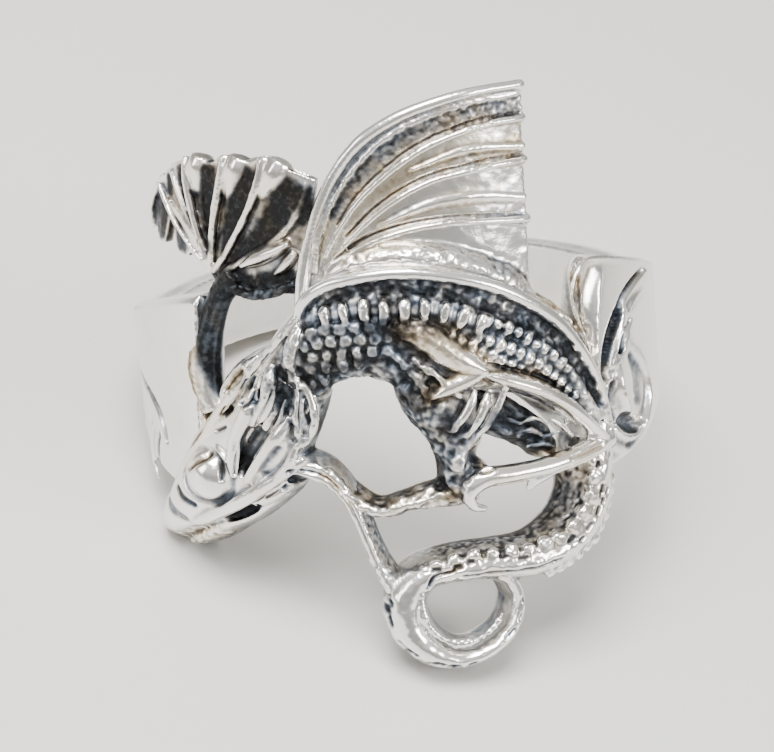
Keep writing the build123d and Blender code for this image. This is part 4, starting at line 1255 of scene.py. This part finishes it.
# %% Lines of the second wing
# wires of (along, up, rise, radius)
FAN_ARM = (
    (-7, 5.4, 0.9, 0.5), (-7.5, 4.8, 0.9, 0.55), (-8.1, 4, 0.9, 0.56), (-8.6, 3, 0.9, 0.6),
    (-8.95, 2.1, 0.95, 0.7), (-9.2, 1.2, 0.95, 0.78), (-9.1, 0.2, 0.95, 0.72), (-8.7, -0.8, 0.95, 0.6),
)
FAN_RIBS = (
    ((-8, 5.3, 1.1, 0.16), (-8.6, 6.9, 1.15, 0.16), (-9.5, 8.2, 1.1, 0.17), (-10.3, 9.5, 0.95, 0.17)),
    (
        (-8.1, 5.4, 1.15, 0.16), (-8.6, 7, 1.2, 0.17), (-8.95, 8.5, 1.2, 0.18), (-9.15, 9.6, 1.1, 0.19),
        (-9.2, 10.2, 0.95, 0.17),
    ),
    (
        (-8.1, 5.4, 1.15, 0.16), (-7.8, 7, 1.2, 0.17), (-7.4, 8.5, 1.2, 0.18), (-7.1, 9.6, 1.1, 0.19),
        (-6.95, 10.45, 0.95, 0.17),
    ),
    (
        (-7.9, 5.4, 1.15, 0.16), (-6.8, 6.8, 1.15, 0.17), (-5.85, 8.3, 1.15, 0.18), (-5.35, 9.4, 1.1, 0.19),
        (-5.1, 10.4, 0.95, 0.17),
    ),
    (
        (-7.6, 5.3, 1.1, 0.16), (-5.9, 6.3, 1.05, 0.15), (-4.5, 7.2, 1, 0.15), (-3.6, 8.3, 0.95, 0.16),
        (-3.2, 9.4, 0.85, 0.16),
    ),
)
FLARES = (
    ((-10.1, 8.6, 0.75, 0.1), (-10.05, 9.2, 0.7, 0.38), (-9.95, 9.65, 0.62, 0.36)),
    ((-8.85, 8.3, 0.8, 0.1), (-8.75, 9.1, 0.72, 0.44), (-8.6, 9.8, 0.68, 0.62), (-8.5, 10.25, 0.6, 0.5)),
    ((-7.1, 8.3, 0.8, 0.1), (-6.85, 9.1, 0.72, 0.44), (-6.45, 9.9, 0.68, 0.62), (-6.3, 10.35, 0.6, 0.5)),
    ((-5.6, 8.4, 0.8, 0.1), (-5.15, 9.1, 0.72, 0.44), (-4.6, 9.8, 0.68, 0.62), (-4.35, 10.25, 0.6, 0.5)),
)
print("the second wing has", len(FAN_RIBS), "ribs and", len(FLARES), "flares")

# %% Lines of the fan's skin
# outlines of (along, up), wires of (along, up, rise, radius), strands, and strokes of (along, up, half-width)
FAN_TOP = (
    (-11.9, 8.5), (-11, 9.3), (-10.2, 9.8), (-9, 10.2), (-7.8, 10.1), (-7, 10.5), (-5.9, 10.2), (-5, 10.5),
    (-4, 10), (-3.2, 9.7), (-2.8, 9.5),
)
FAN_FOOT = (
    (-9.9, 6.1), (-9.4, 5.9), (-8.8, 5.5), (-8.2, 5), (-7.4, 4.7), (-6.2, 4.5), (-5, 4.6), (-4, 4.6),
)
FAN_LOBES = (
    (
        ((-11.5, 9.1), (-12.2, 8), (-12.45, 7), (-12.2, 6.1)),
        ((-10.6, 9), (-10.8, 8), (-11, 7), (-11.6, 6.1)),
    ),
    (((-10.4, 7.4), (-10.65, 6.6), (-10.55, 5.9)), ((-9.3, 7.4), (-9.3, 6.6), (-9.7, 5.8))),
)
FAN_EDGE = (
    ((-11, 9.2, 0.9, 0.12), (-11.7, 8.4, 1.1, 0.14), (-12.4, 7.3, 1.1, 0.14), (-12.6, 6.6, 0.95, 0.12)),
    ((-8.3, 5.9, 1.4, 0.1), (-9.3, 6.7, 1.3, 0.12), (-10.4, 7.7, 1.2, 0.12), (-11.3, 8.7, 1.1, 0.1)),
    ((-7.4, 4.9, 1.2, 0.14), (-6.2, 4.6, 1.2, 0.2), (-5, 4.75, 1.2, 0.2), (-4, 5.2, 1.2, 0.16)),
)
FAN_FLAPS = (
    ((-6.4, 5.8, 0.35, 1.4), (-5.7, 6.15, 0.8, 1.5), (-4.9, 6.5, 0.8, 1.5), (-4.1, 6.9, 0.4, 1.4)),
    ((-4.9, 5.5, 0.3, 1.3), (-4.4, 5.9, 0.6, 1.4), (-3.9, 6.5, 0.5, 1.4)),
)
FAN_BLACK = (
    ((-11.6, 6.6, 0.2), (-11.1, 8, 0.22)), ((-10.6, 8.5, 0.2), (-10.6, 9.1, 0.22)),
    ((-8.6, 6.6, 0.15), (-9.2, 8.1, 0.25), (-9.7, 9.6, 0.3)),
    ((-8.05, 6.4, 0.2), (-8.1, 8, 0.35), (-7.95, 9.7, 0.4)),
    ((-7.4, 6.3, 0.2), (-6.7, 8, 0.4), (-5.85, 9.7, 0.35)),
    ((-6.9, 6, 0.2), (-5.2, 7.4, 0.45), (-4, 9.2, 0.5)), ((-5.6, 5.3, 0.3), (-4.4, 5.4, 0.35)),
    ((-7.4, 5.2, 0.3), (-6.2, 5.1, 0.3)), ((-3.3, 8, 0.4), (-3.2, 9, 0.4)),
)
print("the second wing has", len(FAN_LOBES), "lobes and", len(FAN_FLAPS), "flaps")

# %% Second wing in one skin
FAN_SKIN, FAN_UNDERSIDE = 0.95, 0.5  # rises of the thin skin
fan_shapes = [panel(FAN_TOP, FAN_FOOT, FAN_SKIN, FAN_UNDERSIDE)]
fan_shapes += [strand(rows) for rows in FAN_FLAPS]
fan_shapes += [panel(first, last, FAN_SKIN, FAN_UNDERSIDE, 40, 40) for first, last in FAN_LOBES]
fan_shapes.append(wires((FAN_ARM,) + FAN_RIBS + FLARES + FAN_EDGE))
fan_piece = weld("second_wing", fan_shapes, voxel=0.06, rounds=4)

# %% Carving of the second wing
# strokes of (depth, darkness, path of (along, up, half-width))
FAN_CUTS = [
    (0, 0.3, ((-11.4, 8.4, 0.5), (-11.7, 7.2, 0.6), (-11.9, 6.4, 0.4))),
    (0, 0.4, ((-10, 7, 0.45), (-10.1, 6.1, 0.4))),
    (0.03, 0.4, (
        (-7.2, 5.1, 0.6), (-7.9, 4.3, 0.6), (-8.5, 3.1, 0.6), (-8.6, 2.1, 0.5), (-8.4, 1.2, 0.4),
        (-8.3, 0.4, 0.3),
    )),
    (0, 0.25, ((-9.4, 0, 0.3), (-9.7, 1.2, 0.35), (-9.4, 2.4, 0.3))),
    (0.1, 0.4, ((-9.6, 0, 0.07), (-9.95, 1, 0.08), (-9.8, 1.9, 0.08), (-9.4, 2.6, 0.06))),
]
# rough parts of (height, size of a crag, darkness, path of (along, up, half-width))
FAN_ROUGH = [
    (0.04, 0.5, 0.45, ((-10.2, 7.8, 0.9), (-8.2, 8.2, 1.7), (-5.6, 8, 1.7), (-3.8, 7.6, 1.2))),
    (0.06, 0.35, 0.5, ((-7.8, 4.9, 0.5), (-6, 4.7, 0.6), (-4.2, 5, 0.6))),
    (0.02, 0.5, 0.6, (
        (-6.9, 5.2, 0.7), (-7.8, 4.3, 0.75), (-8.3, 3.1, 0.7), (-8.35, 2.1, 0.6), (-8.2, 1.2, 0.55),
        (-8, 0.2, 0.5),
    )),
    (0.03, 0.3, 0.4, ((-9.2, -0.6, 0.6), (-9.7, 0.6, 0.7), (-9.8, 1.8, 0.6))),
    (0.03, 0.4, 0.6, ((-7.4, 4.8, 0.4), (-6.2, 4.5, 0.4), (-5, 4.6, 0.4), (-4, 5, 0.35))),
    (0.02, 0.4, 0.35, ((-11.6, 7.6, 0.7), (-11.9, 6.5, 0.6))),
    (0.02, 0.4, 0.4, ((-10, 6.8, 0.5), (-10.1, 6, 0.45))),
]
# paths of (along, up, half-width) that the polishing wheel reached
FAN_SHINE = [[row[:2] + (row[3] * 0.8,) for row in rows[1:]] for rows in FAN_RIBS[:4] + FLARES] + [
    ((-6.2, 5.9, 0.25), (-5, 6.4, 0.32), (-4.2, 6.9, 0.25)),
    ((-12.7, 7, 0.2), (-11.8, 8.3, 0.2), (-11, 9.1, 0.2)),
    ((-8.3, 5.9, 0.14), (-9.3, 6.7, 0.16), (-11.3, 8.7, 0.16)),
]
blackened = [(0.0, 0.95, rows) for rows in FAN_BLACK]
paint = carve(fan_piece, blackened + FAN_CUTS, rough=FAN_ROUGH, polished=FAN_SHINE, grain=0.01)
# warm tarnish of (share, path of (along, up, half-width))
FAN_WARM = [
    (1, ((-9.2, -1, 0.5), (-9.5, 0.8, 0.6), (-9.4, 2, 0.5))),
    (0.4, ((-11, 7.5, 1.5), (-7, 8.5, 3), (-4, 7.5, 1.8))),
]
finish_skin(fan_piece, paint, warm=FAN_WARM, base=0.05)

# %% [markdown]
# ## Oxidised sterling silver
# Sterling silver is pale, slightly warm and very bright where it is polished: it mirrors the room,
# so a high point is as pale as the room. In the hollows a thin sulphide layer is left, dark grey to
# blue-black, and it is dull. Thin tarnish on open faces looks straw to brown instead. One metal
# holds all of it: two colour ramps, a cold and a warm one, run from bright to black by the darkness
# stored on the points, and fine noise breaks them up as on a real cast. The finger hole is only
# brushed, so it is rougher. A painted picture could hold the tones too, but it would need
# unfolding, and it would blur in a close view.


# %% Colours
def linear(hexcode):
    """The linear colour of a screen colour such as F2EFEA."""
    parts = [int(hexcode[k:k + 2], 16) / 255 for k in (0, 2, 4)]
    return tuple(v / 12.92 if v <= 0.04045 else ((v + 0.055) / 1.055) ** 2.4 for v in parts) + (1.0,)


def ramp(tree, share, stops):
    """A colour ramp through (position, screen colour) stops."""
    node = add(tree, "ShaderNodeValToRGB", Fac=share)
    node.color_ramp.elements.remove(node.color_ramp.elements[1])
    for k, (position, colour) in enumerate(stops):
        element = node.color_ramp.elements[0] if k == 0 else node.color_ramp.elements.new(position)
        element.position, element.color = position, linear(colour)
    return node.outputs["Color"]


print("linear white is", linear("FFFFFF"))

# %% Metal
GRAINS_PER_MM = 4.2  # real grain is finer and is drawn this coarse so that it shows
PATCHES_PER_MM = 0.9
PITS_PER_MM = 7.0
PIT_DEPTH = 0.01 * MM  # of the finest pits, which are only shaded
BRUSHED = 0.35  # roughness that brushing adds

# polished silver mirrors the room, and the sulphide left on it is dull and blue-black
silver = bpy.data.materials.new("oxidised_sterling_silver")
silver.use_nodes = True
metal_tree = silver.node_tree
metal_tree.nodes.clear()
space = add(metal_tree, "ShaderNodeTexCoord").outputs["Object"]
black = add(metal_tree, "ShaderNodeAttribute", {"attribute_name": "black"})
warm = add(metal_tree, "ShaderNodeAttribute", {"attribute_name": "warm"})
grain = add(metal_tree, "ShaderNodeTexNoise", Vector=space, Scale=GRAINS_PER_MM / MM, Detail=4.0,
            Roughness=0.65)
patches = add(metal_tree, "ShaderNodeTexNoise", Vector=space, Scale=PATCHES_PER_MM / MM, Detail=2.0)
centred = add(metal_tree, "ShaderNodeMath", {"operation": "SUBTRACT"}, i0=grain.outputs["Fac"], i1=0.5)
reach = add(metal_tree, "ShaderNodeMapRange", i0=black.outputs["Fac"], i1=0.02, i2=0.4, i3=0.05, i4=0.6)
speckle = add(
    metal_tree, "ShaderNodeMath", {"operation": "MULTIPLY"}, i0=centred.outputs[0], i1=reach.outputs[0],
)
depth = add(
    metal_tree, "ShaderNodeMath", {"operation": "ADD", "use_clamp": True}, i0=black.outputs["Fac"],
    i1=speckle.outputs[0],
)
COLD = ((0.0, "F4F2EF"), (0.22, "D9D8D6"), (0.45, "969CA4"), (0.7, "555C66"), (1.0, "24272B"))
WARM = ((0.0, "F1EBE1"), (0.22, "D8CCB8"), (0.45, "A0917B"), (0.7, "5E5548"), (1.0, "292622"))
cold_tone = ramp(metal_tree, depth.outputs[0], COLD)
warm_tone = ramp(metal_tree, depth.outputs[0], WARM)
mostly = add(metal_tree, "ShaderNodeMapRange", i0=patches.outputs["Fac"], i1=0.42, i2=0.62, i3=0.0, i4=0.4)
share = add(
    metal_tree, "ShaderNodeMath", {"operation": "ADD", "use_clamp": True}, i0=mostly.outputs[0],
    i1=warm.outputs["Fac"],
)
tone = add(
    metal_tree, "ShaderNodeMix", {"data_type": "RGBA"}, i0=share.outputs[0], i6=cold_tone, i7=warm_tone,
)
gloss = add(metal_tree, "ShaderNodeMapRange", i0=depth.outputs[0], i1=0.0, i2=0.7, i3=0.18, i4=0.5)
satin = add(metal_tree, "ShaderNodeAttribute", {"attribute_name": "satin"})
brushed = add(
    metal_tree, "ShaderNodeMath", {"operation": "MULTIPLY_ADD"}, i0=satin.outputs["Fac"], i1=BRUSHED,
    i2=gloss.outputs[0],
)
pitting = add(metal_tree, "ShaderNodeTexNoise", Vector=space, Scale=PITS_PER_MM / MM, Detail=3.0)
relief = add(metal_tree, "ShaderNodeBump", Height=pitting.outputs["Fac"], Distance=PIT_DEPTH, Strength=0.6)
metal = add(
    metal_tree, "ShaderNodeBsdfPrincipled", Metallic=1.0, Base_Color=tone.outputs[2],
    Roughness=brushed.outputs[0], Normal=relief.outputs[0],
)
add(metal_tree, "ShaderNodeOutputMaterial", Surface=metal.outputs[0])
print("the metal has", len(metal_tree.nodes), "nodes")

# %% Metal on the pieces
pieces = [band_piece, head_piece, body_piece, tail_piece, wing_piece, fan_piece]
for piece in pieces:
    piece.data.materials.clear()
    piece.data.materials.append(silver)
    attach(piece, "root")
    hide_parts("dragon_ring")
print(len(pieces), "pieces carry", silver.name)

# %% [markdown]
# ## Studio
# The photograph is high key: a pale table that runs into a pale wall, and soft light from all sides
# with one large soft box above. Polished silver shows this room, so the room is part of the
# finish. A picture of a real studio could be its sky, but a pale gradient that is greyer above the
# horizon, with three soft boxes in it, does the same and stays easy to change.

# %% Table
TABLE_HALF = 1.5  # metres, so wide that its edge is lost in the light
corners = [(x * TABLE_HALF, y * TABLE_HALF, 0) for x, y in ((-1, -1), (1, -1), (1, 1), (-1, 1))]
floor = placed("table", bpy.data.meshes.new("table"))
floor.data.from_pydata(corners, [], [(0, 1, 2, 3)])

# half matt grey-white card, which has no pattern and throws a soft light back up at the ring
paper = bpy.data.materials.new("pale_table")
paper.use_nodes = True
surface = paper.node_tree.nodes["Principled BSDF"]
surface.inputs["Base Color"].default_value = linear("C3C1BC")
surface.inputs["Roughness"].default_value = 0.45
floor.data.materials.append(paper)
print("the table is", 2 * TABLE_HALF, "m wide")

# %% Light
world = bpy.data.worlds.new("room")
bpy.context.scene.world = world
world.use_nodes = True
sky = world.node_tree
sky.nodes.clear()
view_line = add(sky, "ShaderNodeTexCoord")
parts = add(sky, "ShaderNodeSeparateXYZ", Vector=view_line.outputs["Generated"])
sweep_up = add(sky, "ShaderNodeMapRange", i0=parts.outputs["Z"], i1=-0.1, i2=1.0)
shade = add(sky, "ShaderNodeValToRGB", Fac=sweep_up.outputs[0])
shade.color_ramp.elements[0].color = linear("C9C7C3")
shade.color_ramp.elements[1].color = linear("F6F7F8")
for height, colour in ((0.35, "B6B5B2"), (0.6, "F2F2F1")):
    shade.color_ramp.elements.new(height).color = linear(colour)
glow = add(sky, "ShaderNodeBackground", Color=shade.outputs["Color"], Strength=0.98)
add(sky, "ShaderNodeOutputWorld", Surface=glow.outputs[0])


def point_at(thing, place, target, up_hint):
    """Puts a lamp or camera at a place, looking at the target."""
    back = (np.array(place) - target) / np.linalg.norm(np.array(place) - target)
    side = np.cross(up_hint, back)
    side = side / np.linalg.norm(side)
    turned = np.column_stack([side, np.cross(back, side), back])
    rows = [list(part) + [spot] for part, spot in zip(turned, place)]
    thing.matrix_world = Matrix(rows + [[0, 0, 0, 1]])


def lamp(name, place, size, power):
    """A square soft box that faces the ring, with its size in metres and its power in watts."""
    light = bpy.data.lights.new(name, "AREA")
    light.size, light.energy = size, power
    point_at(placed(name, light), place, CENTRE, (0, 0, 1))


lamp("soft_box_above", (-0.05, -0.04, 0.22), 0.13, 1.4)
lamp("soft_box_left", (-0.22, -0.1, 0.12), 0.12, 0.3)
lamp("soft_box_right", (0.2, -0.12, 0.14), 0.1, 0.6)
print("the studio has", len(bpy.data.lights), "soft boxes")

# %% [markdown]
# ## The camera
# The ring is seen from a little above, as a ring lies on a table. The camera could be placed by eye,
# but then it would drift with every change. Here it follows from the finger's axis, from a distance
# and from the place of the finger hole's middle in the picture.

# %% Camera
CAMERA_DISTANCE = 0.160
SENSOR = 36.0
LOOK_DOWN = math.radians(15)  # towards the finger's axis, seen from straight in front of the dragon
ROLL = math.radians(4.5)
PIXELS = (774, 752)
RING_PIXEL = (397, 332)  # where the middle of the finger hole is seen
PIXELS_PER_MM = 22.5
towards = math.sin(LOOK_DOWN) * FINGER - math.cos(LOOK_DOWN) * INWARD
level = math.cos(LOOK_DOWN) * FINGER + math.sin(LOOK_DOWN) * INWARD
camera_up = math.sin(ROLL) * RIGHT + math.cos(ROLL) * level
eye = bpy.data.cameras.new("photo_view")
eye.sensor_width = SENSOR
eye.lens = SENSOR * CAMERA_DISTANCE / (PIXELS[0] / PIXELS_PER_MM * MM)
eye.shift_x = (PIXELS[0] / 2 - RING_PIXEL[0]) / PIXELS[0]
eye.shift_y = (RING_PIXEL[1] - PIXELS[1] / 2) / PIXELS[0]
camera = placed("photo_view", eye)
point_at(camera, CENTRE + CAMERA_DISTANCE * towards, CENTRE, camera_up)
bpy.context.scene.camera = camera
print("the lens is", round(eye.lens), "mm")
